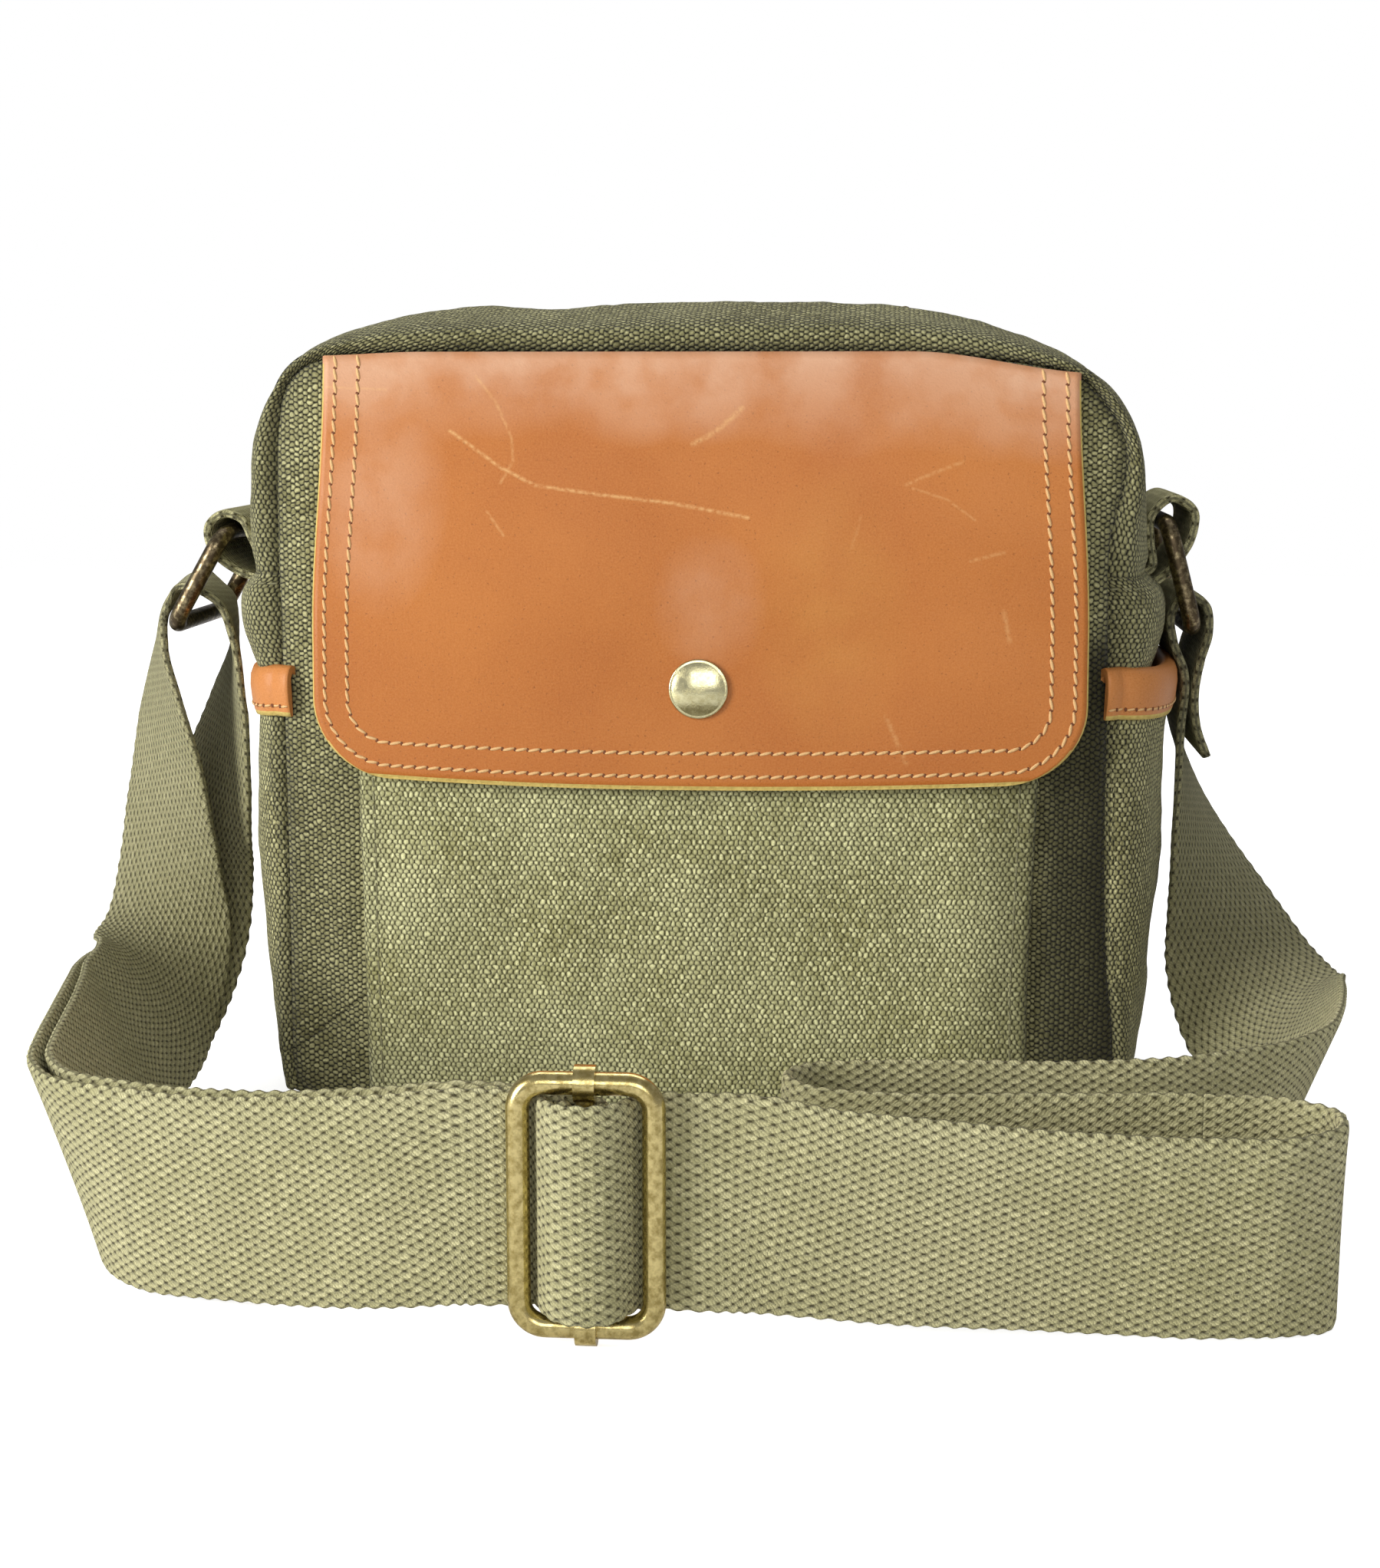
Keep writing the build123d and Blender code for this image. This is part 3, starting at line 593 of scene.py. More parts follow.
def body_panel(name, side, node):
    """The front (side -1) or back panel, puffed inside its seam."""
    s = np.linspace(0, body_line.knots[-1], 321)
    seam = body_line.at(s)[:, 0:2]
    centre = np.array([0, 84.0])
    reach = np.array([1, 0.985, 0.965, 0.94, 0.91, 0.88, 0.85, 0.82, 0.78, 0.7, 0.58, 0.42, 0.22, 0.001])
    flat = centre + (seam[None] - centre) * reach[:, None, None]
    puff = 3.0 * (1 - reach ** 16) ** 0.6 + 1.2 * (1 - reach ** 2)
    y = side * (HALF_DEPTH + puff[:, None] * np.ones(len(s)))
    grid = np.stack([flat[..., 0], y, flat[..., 1]], axis=-1)
    out = facing(grid, 1, side)
    hold = smooth((1 - reach) / 0.1)[:, None] * np.ones(len(s))
    # Long soft folds hang down the strips beside the pocket.
    fold = np.sin((grid[..., 0] * 0.32) + grid[..., 2] * 0.03) * 0.7 * smooth((100 - grid[..., 2]) / 50)
    grid[..., 1] += side * fold * hold
    grid = wrinkled(grid, out, 1.3, 24.0, hold, seed=7.0 + side)
    cloth = flat[..., ::-1]
    # Painted shade: the panel is darkened a little all over, and more in the crease along its seam.
    painted_shade = 0.05 + 0.35 * ridge(reach, 1, 0.03)[:, None] * np.ones(len(s))
    if side < 0:
        # Painted shadow: beside the pocket on the right the cloth is darkened, as if shadowed by the
        # pocket's raised edge in the fold.
        painted_shade = painted_shade + 0.85 * smooth((grid[..., 0] - 72) / 6) * smooth((112 - grid[..., 2]) / 10)
        # The lower left strip beside the pocket is darkened a little too.
        painted_shade = painted_shade + 0.2 * smooth((-70 - grid[..., 0]) / 8) * smooth((100 - grid[..., 2]) / 30)
    obj = shell(name, grid, cloth, CANVAS_THICK, [CANVAS], "bag", [node], normals=out,
                painted_shade=np.clip(painted_shade, 0, 1), turned=side < 0)


def make_body():
    body_panel("front_cloth", -1, "front_panel")
    body_panel("back_cloth", 1, "back_panel")
    whole, slot = (-HALF_DEPTH, HALF_DEPTH), (-ZIP_SLOT, ZIP_SLOT)
    left = body_piece("side_cloth_left", 0, LEFT_TAB_SEAM, whole, "gusset_left")
    right = body_piece("side_cloth_right", RIGHT_TAB_SEAM, RIGHT_BASE, whole, "gusset_right")
    # The seam over each tab is sewn down beside the tab.
    for name, (grid, out), row in (("left", left, -3), ("right", right, 2)):
        y = grid[row, :, 1]
        for end, beside in (("front", y < -TAB_HALF), ("back", y > TAB_HALF)):
            ups = out[row, beside]
            stitch_line(f"tab_seam_stitches_{name}_{end}", grid[row, beside] + ups * 0.1, ups, 2.7,
                        TAB_STITCH, CANVAS_THREAD, "bag")
    body_piece("base_cloth", RIGHT_BASE, len(BODY_LINE) - 1, whole, "bottom_panel")
    for end, depths in (("front", (-HALF_DEPTH, -ZIP_SLOT)), ("back", (ZIP_SLOT, HALF_DEPTH))):
        body_piece(f"top_cloth_{end}", LEFT_TAB_SEAM, RIGHT_TAB_SEAM, depths, f"top_panel_{end}")
    body_piece("zip_end_cloth_left", LEFT_TAB_SEAM, ZIP_LEFT, slot, "zip_end_left")
    body_piece("zip_end_cloth_right", ZIP_RIGHT, RIGHT_TAB_SEAM, slot, "zip_end_right")


# ---- camera, light, floor
def make_stage():
    camera = bpy.data.cameras.new("camera")
    camera.sensor_width = 36.0
    camera.lens = 57.24
    camera.clip_start = 0.01
    holder = placed("camera", camera)
    holder.location = (0.0415, -0.586, 0.160)
    holder.rotation_euler = (math.radians(81), 0, math.radians(4.5))
    bpy.context.scene.camera = holder

    floor_mesh = bpy.data.meshes.new("floor")
    corners = [(-1.6, -1.6, 0), (1.6, -1.6, 0), (1.6, 1.6, 0), (-1.6, 1.6, 0)]
    floor_mesh.from_pydata(corners, [], [(0, 1, 2, 3)])
    paper = Graph("paper", Roughness=0.9, Specular_IOR_Level=0.1, Base_Color=(0.8, 0.8, 0.8),
                  Emission_Color=(1, 1, 1))
    seen = paper.node("LightPath").outputs["Is Camera Ray"]
    paper.set(Emission_Strength=paper.ramp(seen, 0, 1, 0.1, 0.76))
    floor_mesh.materials.append(paper.material)
    floor = placed("floor", floor_mesh)

    # The backdrop is white to look at, and lights the bag more softly than that.
    world = bpy.data.worlds.new("studio")
    world.use_nodes = True
    tree = world.node_tree
    shade = tree.nodes["Background"]
    shade.inputs["Color"].default_value = (1, 1, 1, 1)
    seen = tree.nodes.new("ShaderNodeLightPath").outputs["Is Camera Ray"]
    strength = tree.nodes.new("ShaderNodeMapRange")
    strength.inputs["To Min"].default_value = 0.34
    strength.inputs["To Max"].default_value = 1.0
    tree.links.new(seen, strength.inputs["Value"])
    tree.links.new(strength.outputs[0], shade.inputs["Strength"])
    bpy.context.scene.world = world
    bpy.context.scene.view_settings.view_transform = "Standard"

    def softbox(name, place, target, size, power):
        light = bpy.data.lights.new(name, "AREA")
        light.shape = "RECTANGLE"
        light.size, light.size_y = size
        light.energy = power
        lamp = placed(name, light)
        lamp.location = place
        lamp.rotation_euler = (Vector(target) - Vector(place)).to_track_quat("-Z", "Y").to_euler()

    softbox("key", (-0.95, -0.72, 0.38), (0, -0.06, 0.09), (0.45, 0.6), 12.5)
    softbox("front", (0.1, -1.3, 0.5), (0, -0.1, 0.08), (0.9, 0.5), 4.5)
    softbox("floor_light", (0.0, 0.6, 1.3), (0, 0.1, 0), (1.4, 0.6), 7)


# ---- front pocket
def make_pocket():
    """The front pocket, whose top is hidden under the flap."""
    z = np.linspace(3.0, 120.0, 60)
    across = np.concatenate([[0, 0.006, 0.014, 0.026, 0.045], np.linspace(0.07, 0.93, 60),
                             [0.955, 0.974, 0.987, 0.994, 1]])
    left = np.interp(z, [3, 40, 75, 120], [-73.0, -73.6, -74.0, -74.0])
    right = np.interp(z, [3, 30, 60, 90, 120], [73.6, 73.2, 74.2, 74.9, 74.6])
    x = left[:, None] + (right - left)[:, None] * across
    zz = z[:, None] * np.ones(len(across))
    from_left, from_right = x - left[:, None], right[:, None] - x
    puff = 1.9 * np.sin(np.pi * across)[None, :] ** 0.6
    y = -53.0 - puff * smooth((98 - zz) / 50) * smooth(zz / 30 + 0.3)
    # The edges turn back to the panel, and each seam draws a groove beside them.
    y += 3.2 * (1 - smooth(from_left / 2.2)) ** 1.5 + 0.7 * ridge(from_left, 4.2, 0.7)
    y += 1.6 * (1 - smooth(from_right / 1.2)) + 0.5 * ridge(from_right, 4.2, 0.7)
    y += 0.5 * ridge(zz, 108, 0.8)
    grid = np.dstack([x, y, zz])
    out = facing(grid, 1, -1)
    hold = smooth((102 - zz) / 20) * smooth(np.minimum(from_left, from_right) / 12)
    grid = wrinkled(grid, out, 1.6, 38.0, hold, seed=2.0)
    grid = wrinkled(grid, out, 0.4, 10.0, hold, seed=9.0)
    cloth = np.dstack([x, zz])
    # Painted shade: the pocket darkens toward its right side, where it curves back from the light, and a
    # little along its left edge.
    painted_shade = 0.5 * smooth((x - 54) / 18) + 0.25 * smooth((-68 - x) / 6)
    obj = shell("front_pocket_cloth", grid, cloth, POCKET_THICK, [POCKET], "bag",
                ["front_pocket"], painted_shade=painted_shade)
    for side, place in (("left", 0.0285), ("right", 0.9715)):
        column = np.argmin(np.abs(across - place))
        stitch_line(f"pocket_stitches_{side}", grid[:, column] + out[:, column] * 0.12, out[:, column], 2.9,
                    POCKET_STITCH, CANVAS_THREAD, "bag")


# ---- flap
FLAP_LENGTH = 93.0
FLAP_CORNER = 17.0          # the radius of its lower corners
FLAP_HINGE_Z = 167.9


def flap_edges(d):
    """Where the flap's left and right edges are, d mm down it."""
    bow = smooth(d / 60)
    return -79.9 - 2.8 * bow, 81.9 + 2.7 * bow


def flap_point(x, d, lift=0.0):
    """A place on the flap's outer face, x across and d down, lift mm off it."""
    top = FLAP_HINGE_Z - 4.6 * smooth((x - 46) / 40) - 0.8 * smooth((-58 - x) / 24)
    length = FLAP_LENGTH - (FLAP_HINGE_Z - top) - 2.1 * (x / 75) ** 2
    z = top - d * length / FLAP_LENGTH
    settle = 1 - np.exp(-d / 12)
    y = -50.6 - 0.073 * d - 1.9 * settle + 1.9 * settle * np.abs((x - 1) / 84) ** 3
    y = y + 0.35 * np.sin(x * 0.06 + 0.6) * smooth(d / 40) + 0.25 * np.sin(d * 0.11 + x * 0.02)
    return np.stack([x, y - lift, z], axis=-1)


def flap_rows(inset, count, angles):
    """How far down each row of the flap is, and its left and right ends, all drawn in by inset."""
    radius = FLAP_CORNER - inset
    straight = np.linspace(0, FLAP_LENGTH - FLAP_CORNER, count)
    down = np.concatenate([straight, FLAP_LENGTH - FLAP_CORNER + radius * np.sin(angles)])
    drawn = np.concatenate([np.zeros(count), radius * (1 - np.cos(angles))]) + inset
    left, right = flap_edges(down)
    return down, left + drawn, right - drawn


def flap_grid(inset, lift=0.0):
    """The flap's face drawn in by inset: grid, flat places, how far down, and distance to its edge."""
    angles = np.radians([6, 13, 20, 27, 34, 41, 48, 55, 62, 67, 71.5, 76, 80, 85, 90])
    d, left, right = flap_rows(inset, 46, angles)
    near = np.array([0, 0.35, 0.8, 1.6, 3.0])
    inner = np.linspace(0, 1, 74)[1:-1]
    x = np.concatenate([left[:, None] + near, (left + 3)[:, None] + (right - left - 6)[:, None] * inner,
                        (right[:, None] - near[::-1])], axis=1)
    dd = d[:, None] * np.ones(x.shape[1])
    side_gap = np.minimum(x - left[:, None], right[:, None] - x)
    bottom_gap = (FLAP_LENGTH - inset) - dd
    cloth = np.dstack([x, FLAP_HINGE_Z - dd])
    return flap_point(x, dd, lift), cloth, dd, np.minimum(side_gap, bottom_gap * 0.6)


# The flap's hinge lies between these two places, in metres, and between these two bodies.
FLAP_BEND = ("bag", "flap", (0, -0.0500, 0.1680), (0, -0.0515, 0.1600))


def make_flap():
    grid, cloth, d, gap = flap_grid(0.0)
    out = pointing(-grid_normals(grid), 1, -1)
    grid = grid - out * (0.75 * (1 - smooth(gap / 0.9)))[..., None]
    middle = (gap[:-1, :-1] + gap[1:, 1:]) / 2
    edge = middle < np.where(d[:-1, :-1] > FLAP_LENGTH - 9, 0.62, 0.4)
    edge &= d[:-1, :-1] > 0.5
    shell("flap", grid[::-1], cloth[::-1], FLAP_THICK, [LEATHER, RAW, RAW], FLAP_BEND,
          ["flap_leather", "flap_seam_strip"], edge_mask=edge[::-1], normals=out[::-1])
    back, cloth, _, _ = flap_grid(2.2, lift=-1.85)
    lining = shell("flap_back_cloth", back[::-1], cloth[::-1], FLAP_LINING_THICK, [LINING], FLAP_BEND,
                   ["flap_lining"], normals=facing(back, 1, -1))
    for number, inset in enumerate((2.9, 7.9)):
        down, left, right = flap_rows(inset, 50, np.radians(np.linspace(0, 90, 24))[1:])
        xs = np.concatenate([left, np.linspace(left[-1], right[-1], 90)[1:-1], right[::-1]])
        ds = np.concatenate([down, np.full(88, down[-1]), down[::-1]])
        step = 0.5
        tilt_x = flap_point(xs + step, ds) - flap_point(xs - step, ds)
        tilt_d = flap_point(xs, ds + step) - flap_point(xs, ds - step)
        ups = pointing(unit(np.cross(tilt_d, tilt_x)), 1, -1)
        stitch_line(f"flap_stitches_{number + 1}", flap_point(xs, ds), ups, 2.75, FLAP_STITCH, THREAD,
                    FLAP_BEND, HOLE, tilt=13, sink=0.02)


SNAP_X, SNAP_Z = 1.7, 96.6


def make_snap():
    """The snap's cap: a dome turned about an axis that leans back with the flap."""
    place = flap_point(np.array(SNAP_X), np.array(FLAP_HINGE_Z - SNAP_Z))
    lean = math.radians(4.4)
    axis = unit(np.array([0, -math.cos(lean), math.sin(lean)]))
    # Radius and height of each ring: the rolled rim, then the dome.
    profile = [(0.3, -0.1), (5.6, -0.1), (6.15, 0.1), (6.4, 0.4), (6.35, 0.72), (6.1, 0.86), (5.85, 0.8)]
    for k in range(12):
        r = 5.7 * math.cos(math.radians(k * 90 / 12.2))
        profile.append((r, 0.78 + 1.05 * (1 - (r / 5.9) ** 2)))
    profile.append((0.05, 1.83))
    side = unit(np.cross(axis, [0, 0, 1.0]))
    angles = np.linspace(0, 2 * np.pi, 64, endpoint=False)[:, None]
    ring = np.cos(angles) * side + np.sin(angles) * np.cross(side, axis)
    rings = np.stack([place + axis * h + ring * r for r, h in profile])
    tube("snap_cap_dome", rings, np.zeros(rings.shape), [CAP_BRASS], "flap", ["snap_cap"])


# ---- side pockets
# Height, and the widest place of the left and the right side pocket there.
SIDE_POCKET = Curve([
    (3, -97, 99), (14, -99.4, 101.2), (35, -102.2, 103.4), (62, -103.8, 105), (80, -103.4, 105.8),
    (90, -102.8, 106), (98.5, -102, 106.2),
], measured=1)


def side_pocket_plan(z, side, swell):
    """x on a side pocket at heights z, for how far each place is from its seams."""
    row = SIDE_POCKET.at(z - 3)
    widest = row[..., 1] if side < 0 else row[..., 2]
    seam = np.interp(z, [0, 35, 100], [-90.9, -90.8, -90.9] if side < 0 else [91.8, 90.4, 89.3])
    return seam + (widest - seam) * swell


# The rim's section: out from the pocket's edge, and up from the rim's top.
RIM_PROFILE = [
    (1.15, -11.4), (1.5, -10.4), (2.0, -8), (2.3, -5), (2.15, -2.6), (1.5, -0.9), (0.3, -0.1), (-1.1, -0.5),
    (-2.2, -1.9), (-2.6, -4), (-2.6, -8), (-1.9, -8), (-1.8, -4.2), (-1.1, -2.4), (0.2, -1.6), (0.9, -3),
    (0.7, -6), (0.4, -11.3),
]
SIDE_POCKET_TOP = 97.0


def sweep(count):
    """Turns from a side pocket's front seam to its back one, how full it is there, and y."""
    turn = np.linspace(0.02, np.pi - 0.02, count)
    return turn, np.sin(turn) ** 0.75, -np.cos(turn) * HALF_DEPTH


def make_side_pocket(name, side):
    _, swell, y = sweep(60)
    zz, ww = np.meshgrid(np.linspace(3, SIDE_POCKET_TOP, 48), swell, indexing="ij")
    x = side_pocket_plan(zz, side, ww)
    grid = np.stack([x, np.broadcast_to(y, zz.shape), zz], axis=-1)
    out = pointing(grid_normals(grid), 0, side)
    hold = ww * smooth((SIDE_POCKET_TOP - zz) / 12)
    grid = wrinkled(grid, out, 1.0, 22.0, hold, seed=11.0 + side)
    pocket = shell(f"side_pocket_cloth_{name}", grid, laid_flat(grid), SIDE_POCKET_THICK, [CANVAS], "bag",
                   [f"side_pocket_{name}"], normals=out, turned=side < 0)
    # The rim: a strip of leather rolled over the pocket's edge.  Its front end is sewn into the
    # front seam and shows a little way round it.
    turn, swell, y = sweep(110)
    edge_x = side_pocket_plan(np.full(len(turn), SIDE_POCKET_TOP), side, swell)
    wrap = [(side * 88.2, -49.6), (side * 89.0, -49.5), (side * 89.9, -49.1), (side * 90.8, -48.3)]
    line = np.concatenate([wrap, np.stack([edge_x, y], axis=-1)])
    for _ in range(4):
        line[1:-1] = (line[:-2] + 2 * line[1:-1] + line[2:]) / 4
    ahead = unit(np.gradient(line, axis=0))
    away = pointing(np.stack([-ahead[:, 1], ahead[:, 0]], axis=-1), 0, side)
    sag = 1.2 * np.sin(np.concatenate([np.full(len(wrap), turn[0]), turn])) - 0.6
    top = 99.6 if side < 0 else 100.6

    def rim(out, up):
        """The line along the rim that is out from the pocket's edge, and up from the rim's top."""
        return np.column_stack([line + away * out, top + up - sag])

    rings = np.stack([rim(*place) for place in RIM_PROFILE], axis=1)
    cloth = np.zeros(rings.shape)
    cloth[..., 0] = run_length(line)[:, None]
    cloth[..., 1] = run_length(RIM_PROFILE)
    which = [1] + [0] * (len(RIM_PROFILE) - 2) + [1]
    if side > 0:
        rings, cloth = rings[::-1], cloth[::-1]
    tube(f"side_pocket_rim_{name}", rings, cloth, [RIM_LEATHER, RAW], "bag",
         [f"side_pocket_binding_{name}"], which_column=which)
    ups = np.column_stack([away, np.zeros(len(away))])
    stitch_line(f"rim_stitches_{name}", rim(1.95, -9.1), ups, 2.6, RIM_STITCH, THREAD, "bag",
                HOLE, tilt=8)


# ---- webbing
# The strap's middle line, the same points as the solid strap's: x, y, z, then
# the direction across its width.
SLIDE = np.array([-7.5, -186.0, 24.45])
STRAP_LEFT = [
    (-26, -178.3, 24.4, 0, 0, 1), (-30, -178.3, 24.4, 0, 0, 1),
    (-42, -177.6, 23, 0, -0.02, 1),
    (-60, -174.3, 21.2, 0, -0.06, 1), (-77, -169.8, 20, -0.05, -0.06, 1),
    (-90, -164.3, 19.5, -0.16, -0.02, 0.98), (-100.4, -156, 19.2, -0.28, 0, 0.96),
    (-106.8, -144.5, 19.2, -0.34, 0, 0.94), (-111, -128, 19.2, -0.36, 0, 0.93),
    (-115, -108, 19.2, -0.37, 0, 0.93), (-119, -86, 19.4, -0.4, 0, 0.92),
    (-123, -64, 20, -0.47, 0, 0.88), (-124, -44, 22.4, -0.6, 0.02, 0.8),
    (-126.6, -28.5, 27.6, -0.76, 0.12, 0.62), (-128, -17.5, 36.5, -0.86, 0.34, 0.36),
    (-129.2, -11, 49.5, -0.82, 0.56, 0.1), (-130.4, -6.5, 67, -0.68, 0.72, -0.04),
    (-132, -3, 85, -0.5, 0.86, -0.1), (-132, -1, 99, -0.32, 0.94, -0.08),
    (-130.5, 0, 108, -0.26, 0.96, 0), (-123.5, 0, 114, -0.22, 0.97, 0),
    (-116.8, 0, 110.5, -0.2, 0.98, 0), (-114.2, 0, 101.5, -0.24, 0.97, -0.05),
    (-115.8, 0, 86, -0.45, 0.89, -0.1), (-119.5, -0.5, 68, -0.65, 0.75, -0.08),
    (-123.8, -2, 50, -0.84, 0.52, 0.02), (-125.2, -8.5, 34, -0.9, 0.32, 0.28),
    (-127.9, -21.6, 22.1, -0.8, 0.08, 0.58), (-127.8, -42, 18.6, -0.64, 0, 0.76),
    (-125.6, -64, 18.7, -0.49, 0, 0.87), (-122.4, -86, 18.9, -0.4, 0, 0.92),
    (-118.3, -108.5, 18.9, -0.37, 0, 0.93), (-114.2, -129, 18.9, -0.36, 0, 0.93),
    (-109.9, -146, 18.9, -0.34, 0, 0.94), (-102.8, -159, 19, -0.28, 0, 0.96),
    (-91.8, -167.8, 19.3, -0.16, -0.02, 0.98), (-78, -173.4, 19.9, -0.05, -0.06, 1),
    (-60.5, -178.1, 21.1, 0, -0.06, 1), (-42, -182.2, 23, 0, -0.02, 1),
    (-29, -182.8, 24.4, 0, 0, 1), (-24, -182.8, 24.4, 0, 0, 1),
]
STRAP_RIGHT = [
    (9, -182.8, 24.4, 0, 0, 1), (19, -182.8, 24.4, 0, 0, 1),
    (32, -183, 23, 0, -0.08, 1),
    (55, -182.6, 21.4, 0, -0.15, 0.99), (78, -181.6, 20.2, 0, -0.2, 0.98),
    (97, -180.3, 19.4, 0, -0.2, 0.98), (111, -177.6, 19.2, 0, -0.2, 0.98),
    (118.5, -172, 19.2, 0, -0.14, 0.99), (119.5, -165.5, 19.2, 0, -0.05, 1),
    (113, -160, 19.2, 0, 0, 1), (98, -157.8, 19.2, 0, 0, 1),
    (78, -159.3, 19.2, 0, 0, 1), (58, -161, 19.2, 0, 0, 1),
    (39, -160.8, 19.2, 0, 0, 1), (28.5, -157.2, 19.2, 0, 0, 1),
    (24.7, -150.5, 19.2, 0, 0, 1), (28, -143.7, 19.2, 0, 0, 1),
    (39, -140.3, 19.2, 0, 0, 1), (58, -138.8, 19.2, 0, 0, 1),
    (76, -137.6, 19.2, 0.03, 0, 1), (92, -134.3, 19.2, 0.1, 0, 1),
    (105, -126, 19.2, 0.2, 0, 0.98), (116, -114, 19.2, 0.3, 0, 0.95),
    (123, -101, 19.2, 0.36, 0, 0.93), (126.8, -86, 19.2, 0.4, 0, 0.92),
    (128.6, -71, 19.2, 0.47, 0, 0.88), (129.2, -56, 19.2, 0.58, 0, 0.81),
    (129, -42, 19.6, 0.72, 0.02, 0.7), (127, -29, 23, 0.88, 0.2, 0.4),
    (123.6, -18.5, 31.5, 0.88, 0.46, 0.12), (120.2, -11.5, 43, 0.72, 0.68, -0.1),
    (116, -6, 56, 0.48, 0.86, -0.2), (112, -2, 70, 0.22, 0.95, -0.2),
    (109.4, 0, 84, 0.04, 1, -0.05), (108.9, 0, 97, 0, 1, 0),
    (106.4, 0, 103.5, 0, 1, 0), (105.8, 0, 110, 0, 1, 0),
    (109, 0, 114.4, 0, 1, 0), (113.2, 0, 112, 0, 1, 0),
    (114.2, 0, 106, 0, 1, 0), (112.6, 0, 99.5, 0, 1, 0),
    (111.5, 0, 92, 0, 1, 0), (112.2, 0, 84, 0, 1, 0), (114.6, 0, 77.5, 0, 1, 0),
]
# At the slide, from above and from its middle: x, y, and the strap's width there.
OVER_BAR = [
    (-16.5, 3.2, 38), (-12, 3.4, 38), (-9, 3.0, 37.6), (-6.9, -1.0, 37.6), (-4.3, -4.7, 37.8),
    (0, -6.0, 38), (4.3, -4.7, 37.8), (6.6, -1.0, 37.6), (9, 3.0, 37.6), (12, 3.4, 38), (16.5, 3.2, 38),
]
END_LOOP = [
    (-20, 5.6, 38), (-11, 5.7, 37), (-6.2, 4.4, 36), (-3.3, -0.3, 36), (-2, -2.5, 36), (0, -3.2, 36),
    (2.3, -2.3, 36), (3.2, 0, 36), (2.3, 2.3, 36), (0, 3.6, 36), (-5.5, 7.1, 36), (-12, 7.8, 37.4),
    (-18.5, 7.7, 38),
]
TAB_LEFT = [
    (-97.4, 118.5), (-101.5, 120.1), (-104.8, 126), (-107, 130.3), (-111.2, 131.6),
    (-114.9, 128.8), (-114.4, 123.8), (-109.6, 119.2), (-103.4, 116.8), (-97.4, 115.9),
]
TAB_RIGHT = [
    (97.4, 118.2), (101, 120.3), (100.6, 125.8), (100.7, 132), (105.2, 135.9),
    (110, 133.1), (109.8, 127.6), (106.4, 121.5), (102, 117.2), (97.4, 115.6),
]
WEBBING_WIDTH = 38.0
WEBBING_THICKNESS = 2.0


def at_slide(rows):
    return [(SLIDE[0] + x, SLIDE[1] + y, SLIDE[2], 0, 0, 1, width) for x, y, width in rows]


def full_width(rows, narrowed=()):
    """narrowed gives the rows where the webbing is drawn narrower than it is, and its width there."""
    return [(*row, dict(narrowed).get(k, WEBBING_WIDTH)) for k, row in enumerate(rows)]


# Set to bring the two runs up to the left ring near the photo's outline.
NARROWED = (
    (11, 36.5), (12, 33), (13, 30.5), (14, 33.5), (15, 37), (24, 36), (25, 32), (26, 33), (27, 36.5),
)
# The whole strap as one curve: the sewn end round the bar, out to the left ring and back,
# over the bar, and through its folds to the right ring.
strap = Curve(at_slide(END_LOOP) + full_width(STRAP_LEFT[1:], NARROWED) + at_slide(OVER_BAR[1:-1])
              + full_width(STRAP_RIGHT))
LEFT_START = len(END_LOOP) - 1
LEFT_RISE, LEFT_FRONT = LEFT_START + 5, LEFT_START + 35
BEHIND_FRAME = LEFT_START + len(STRAP_LEFT) - 1 + 9
RIGHT_START = BEHIND_FRAME + 1
FOLDS, RIGHT_SIDE, RIGHT_END = RIGHT_START + 10, RIGHT_START + 25, RIGHT_START + 43


def webbing(name, curve, first, last, body, replaces, shade=(0, 0, 0, 0)):
    """A stretch of webbing along a curve of place, direction across and width.

    shade is the painted shade on it at its first end, at a third, at two thirds and at its last end.
    """
    s = curve.places(first, last, 0.55)
    rows = curve.at(s)
    centre, across, width = rows[:, :3], rows[:, 3:6], rows[:, 6:7]
    along = unit(curve.at(s + 0.3)[:, :3] - curve.at(s - 0.3)[:, :3])
    across = unit(across - along * np.sum(along * across, axis=1, keepdims=True))
    out = np.cross(along, across)
    half = [(1, 0.25), (0.985, 0.72), (0.93, 0.97), (0.75, 1), (0.5, 1), (0.25, 1), (0, 1)]
    face = [(-a, t) for a, t in half] + half[-2::-1]
    profile = face + [(a, -t) for a, t in reversed(face)]
    uneven = np.array([noise.noise(Vector((place * 0.06, 3.1, 0.0))) for place in s])[:, None]
    picks = np.cos(2 * np.pi * s / RIB)[:, None]
    rings, flat = [], []
    dark = np.interp(np.linspace(0, 3, len(s)), range(4), shade)
    for a, t in profile:
        edge = max(0.0, (abs(a) - 0.9) / 0.1)
        reach = a * (width / 2 + edge * (0.2 * picks * np.sign(a) + 0.25 * uneven))
        lift = t * (WEBBING_THICKNESS / 2) * (1 + 0.06 * picks * edge)
        rings.append(centre + across * reach + out * lift)
        flat.append(np.stack([np.full(len(s), a * WEBBING_WIDTH / 2 + 5 * (t < 0)), s, dark], axis=-1))
    obj = tube(name, np.stack(rings, axis=1), np.stack(flat, axis=1), [WEBBING], body, replaces)


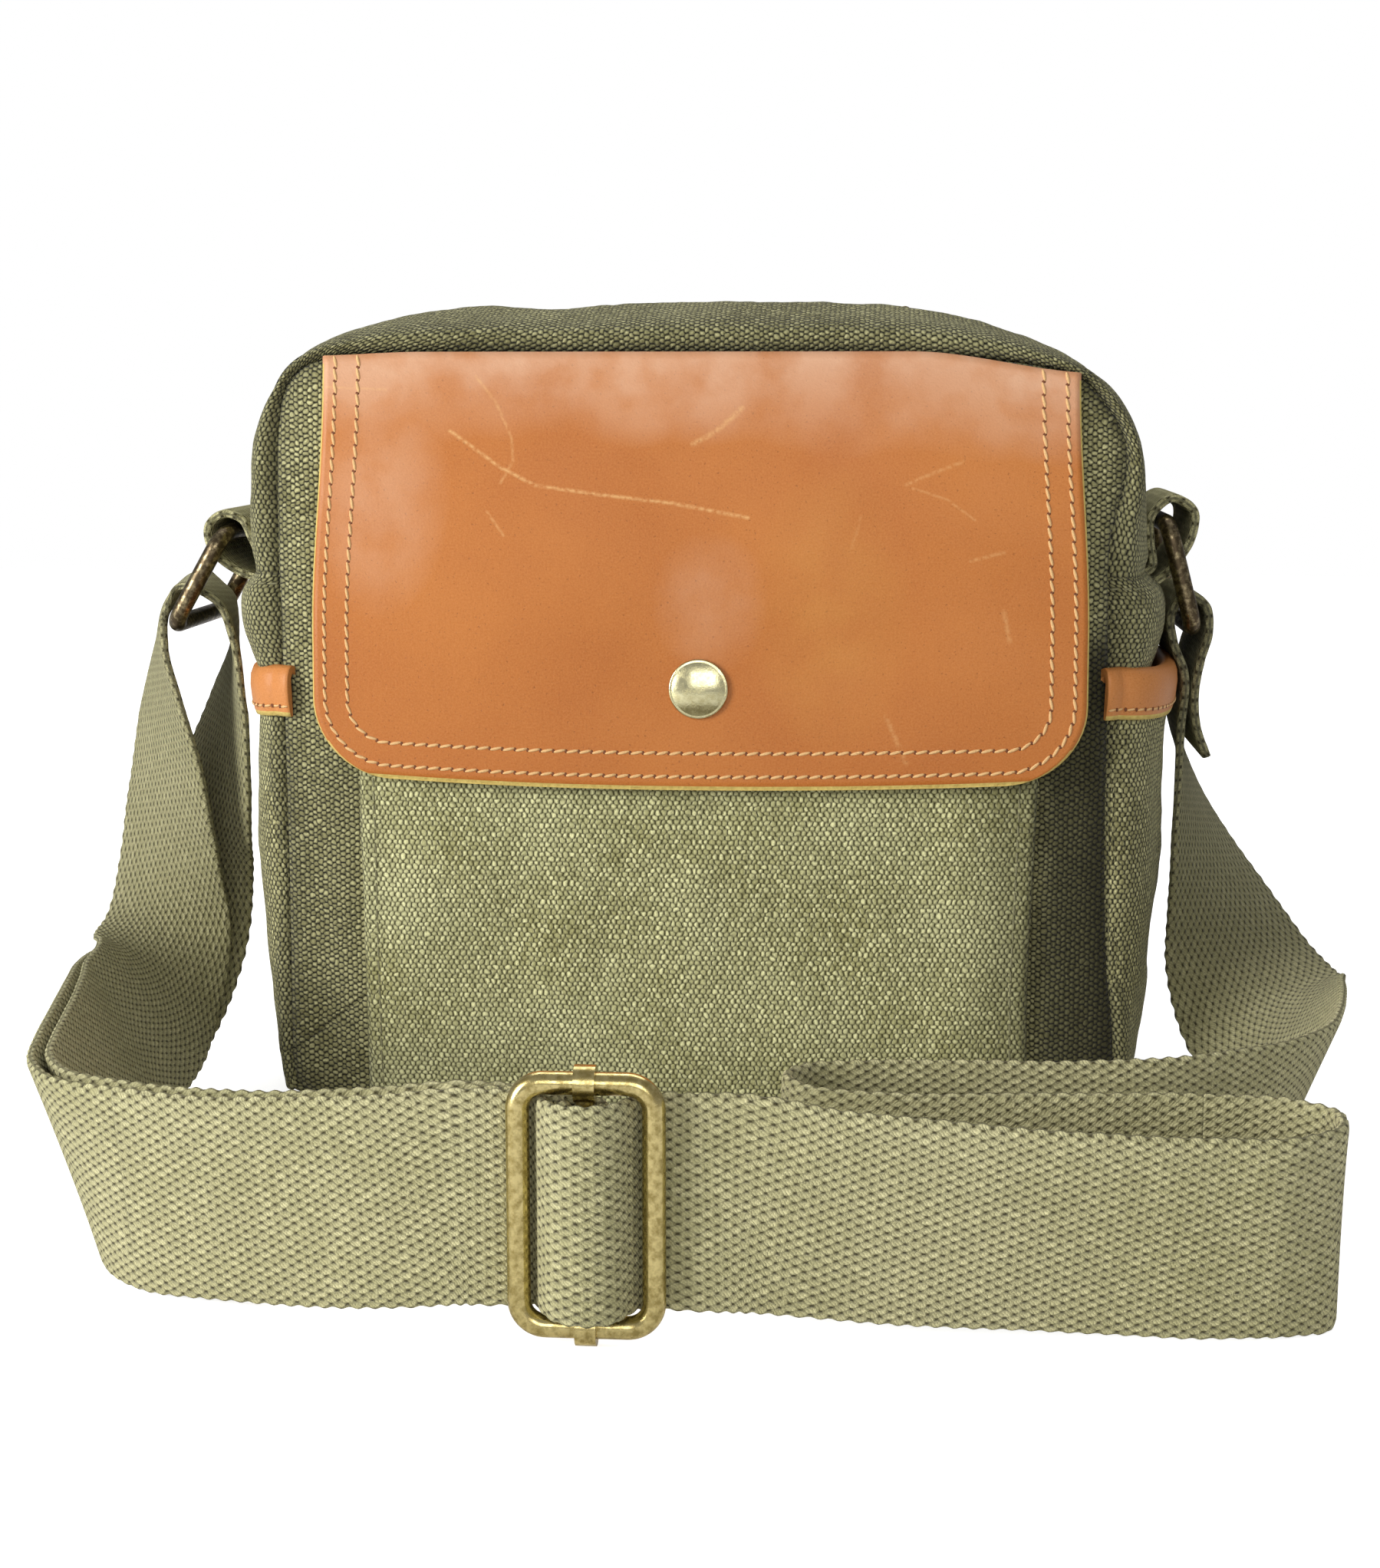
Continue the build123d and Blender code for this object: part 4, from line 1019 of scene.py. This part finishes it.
def make_strap():
    # Each bend is two bodies, then the places in metres where it starts and ends.
    left = ("bag", "ring_left", (-0.127, -0.030, 0.035), (-0.124, 0, 0.105))
    right = ("bag", "ring_right", (0.124, -0.020, 0.030), (0.112, 0, 0.078))
    from_left = ("bag", "slide_buckle", (-0.066, -0.180, 0.024), (-0.030, -0.180, 0.024))
    from_right = ("bag", "slide_buckle", (0.055, -0.182, 0.024), (0.012, -0.182, 0.024))
    webbing("strap_sewn_run", strap, 0, LEFT_RISE, from_left, ["strap_sewn_end", "strap_left_inner"])
    # The runs rising to the rings get painted shade, most on the right, which the bag shadows.
    webbing("strap_left_side", strap, LEFT_RISE, LEFT_FRONT, left,
            ["strap_left_rise_inner", "strap_left_rise_outer"], shade=(0, 0.36, 0.36, 0))
    webbing("strap_front_left", strap, LEFT_FRONT, BEHIND_FRAME, from_left,
            ["strap_left_outer", "strap_over_bar"])
    webbing("strap_front_to_right", strap, BEHIND_FRAME, FOLDS, from_right, ["strap_front_right"])
    webbing("strap_folded", strap, FOLDS, RIGHT_SIDE, "bag", ["strap_folds"])
    webbing("strap_right_side", strap, RIGHT_SIDE, RIGHT_END, right,
            ["strap_right_rise", "strap_right_loop"], shade=(0, 0.6, 0.6, 0.5))
    for name, line in (("left", TAB_LEFT), ("right", TAB_RIGHT)):
        curve = Curve([(x, 0, z, 0, 1, 0, WEBBING_WIDTH) for x, z in line])
        webbing(f"ring_tab_webbing_{name}", curve, 0, len(line) - 1, "bag", [f"ring_tab_{name}"])


# ---- zip, inside, metal
TAPE_Z = 172.9


def make_zip():
    for name, side in (("front", -1), ("back", 1)):
        xx, yy = np.meshgrid(np.linspace(-ZIP_HALF, ZIP_HALF, 60), side * np.array([0.9, 3, 6, 11.2]),
                             indexing="ij")
        zz = TAPE_Z - 0.02 * (np.abs(xx) / 60) ** 2 + 0.06 * np.sin(xx * 0.09)
        grid = np.dstack([xx, yy, zz])
        tape = shell(f"zip_tape_cloth_{name}", grid, np.dstack([yy, xx]), TAPE_THICK, [TAPE], "bag",
                     [f"zip_tape_{name}"], normals=facing(grid, 2, 1), turned=side < 0)
        teeth = np.arange(-55, 55, 1.3) + (0.65 if side > 0 else 0)
        places = np.array([(x, side * 1.15, TAPE_Z + 0.25) for x in teeth])
        coil = beads(f"zip_coil_teeth_{name}", places, np.tile([0.18, -side, 0.0], (len(teeth), 1)),
                     facing(places, 2, 1), ZIP_TOOTH, COIL, "bag")
        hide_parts(f"zip_coil_{name}")


def make_metal():
    """The pieces that are shown as the CAD has them get their materials."""
    bare = {
        "ring_left": DARK_BRASS, "ring_right": DARK_BRASS, "slide_frame": BRASS, "slide_bar": BRASS,
        "zip_slider": DARK_BRASS, "zip_pull": DARK_BRASS, "zip_stops": DARK_BRASS, "snap_socket": BRASS,
        "snap_stud": BRASS, "snap_back": BRASS, "base_board": BOARD,
    }
    for name, material in bare.items():
        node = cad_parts[name]
        node.data.materials.clear()
        node.data.materials.append(material)


def make_lining():
    z = np.linspace(7, 146, 40)
    turn = np.linspace(0, 2 * np.pi, 121)
    squareness = 0.35
    cos, sin = np.cos(turn), np.sin(turn)
    x = 88 * np.sign(cos) * np.abs(cos) ** squareness
    y = 41 * np.sign(sin) * np.abs(sin) ** squareness
    grow = (1 + 0.02 * np.sin(z / 146 * np.pi))[:, None]
    grid = np.dstack([x * grow, y * grow, z[:, None] * np.ones(len(turn))])
    out = grid_normals(grid)
    flip = np.sum(out * (grid - [0, 0, 80]), axis=-1, keepdims=True)
    out = np.where(flip < 0, -out, out)
    run = run_length(np.column_stack([x, y]))
    cloth = np.stack(np.broadcast_arrays(run[None], z[:, None]), axis=-1)
    obj = shell("lining_cloth", grid, cloth, LINING_THICK, [LINING], "bag", ["lining"],
                normals=out)


make_stage()
make_body()
make_pocket()
make_flap()
make_snap()
make_side_pocket("left", -1)
make_side_pocket("right", 1)
make_strap()
make_zip()
make_metal()
make_lining()
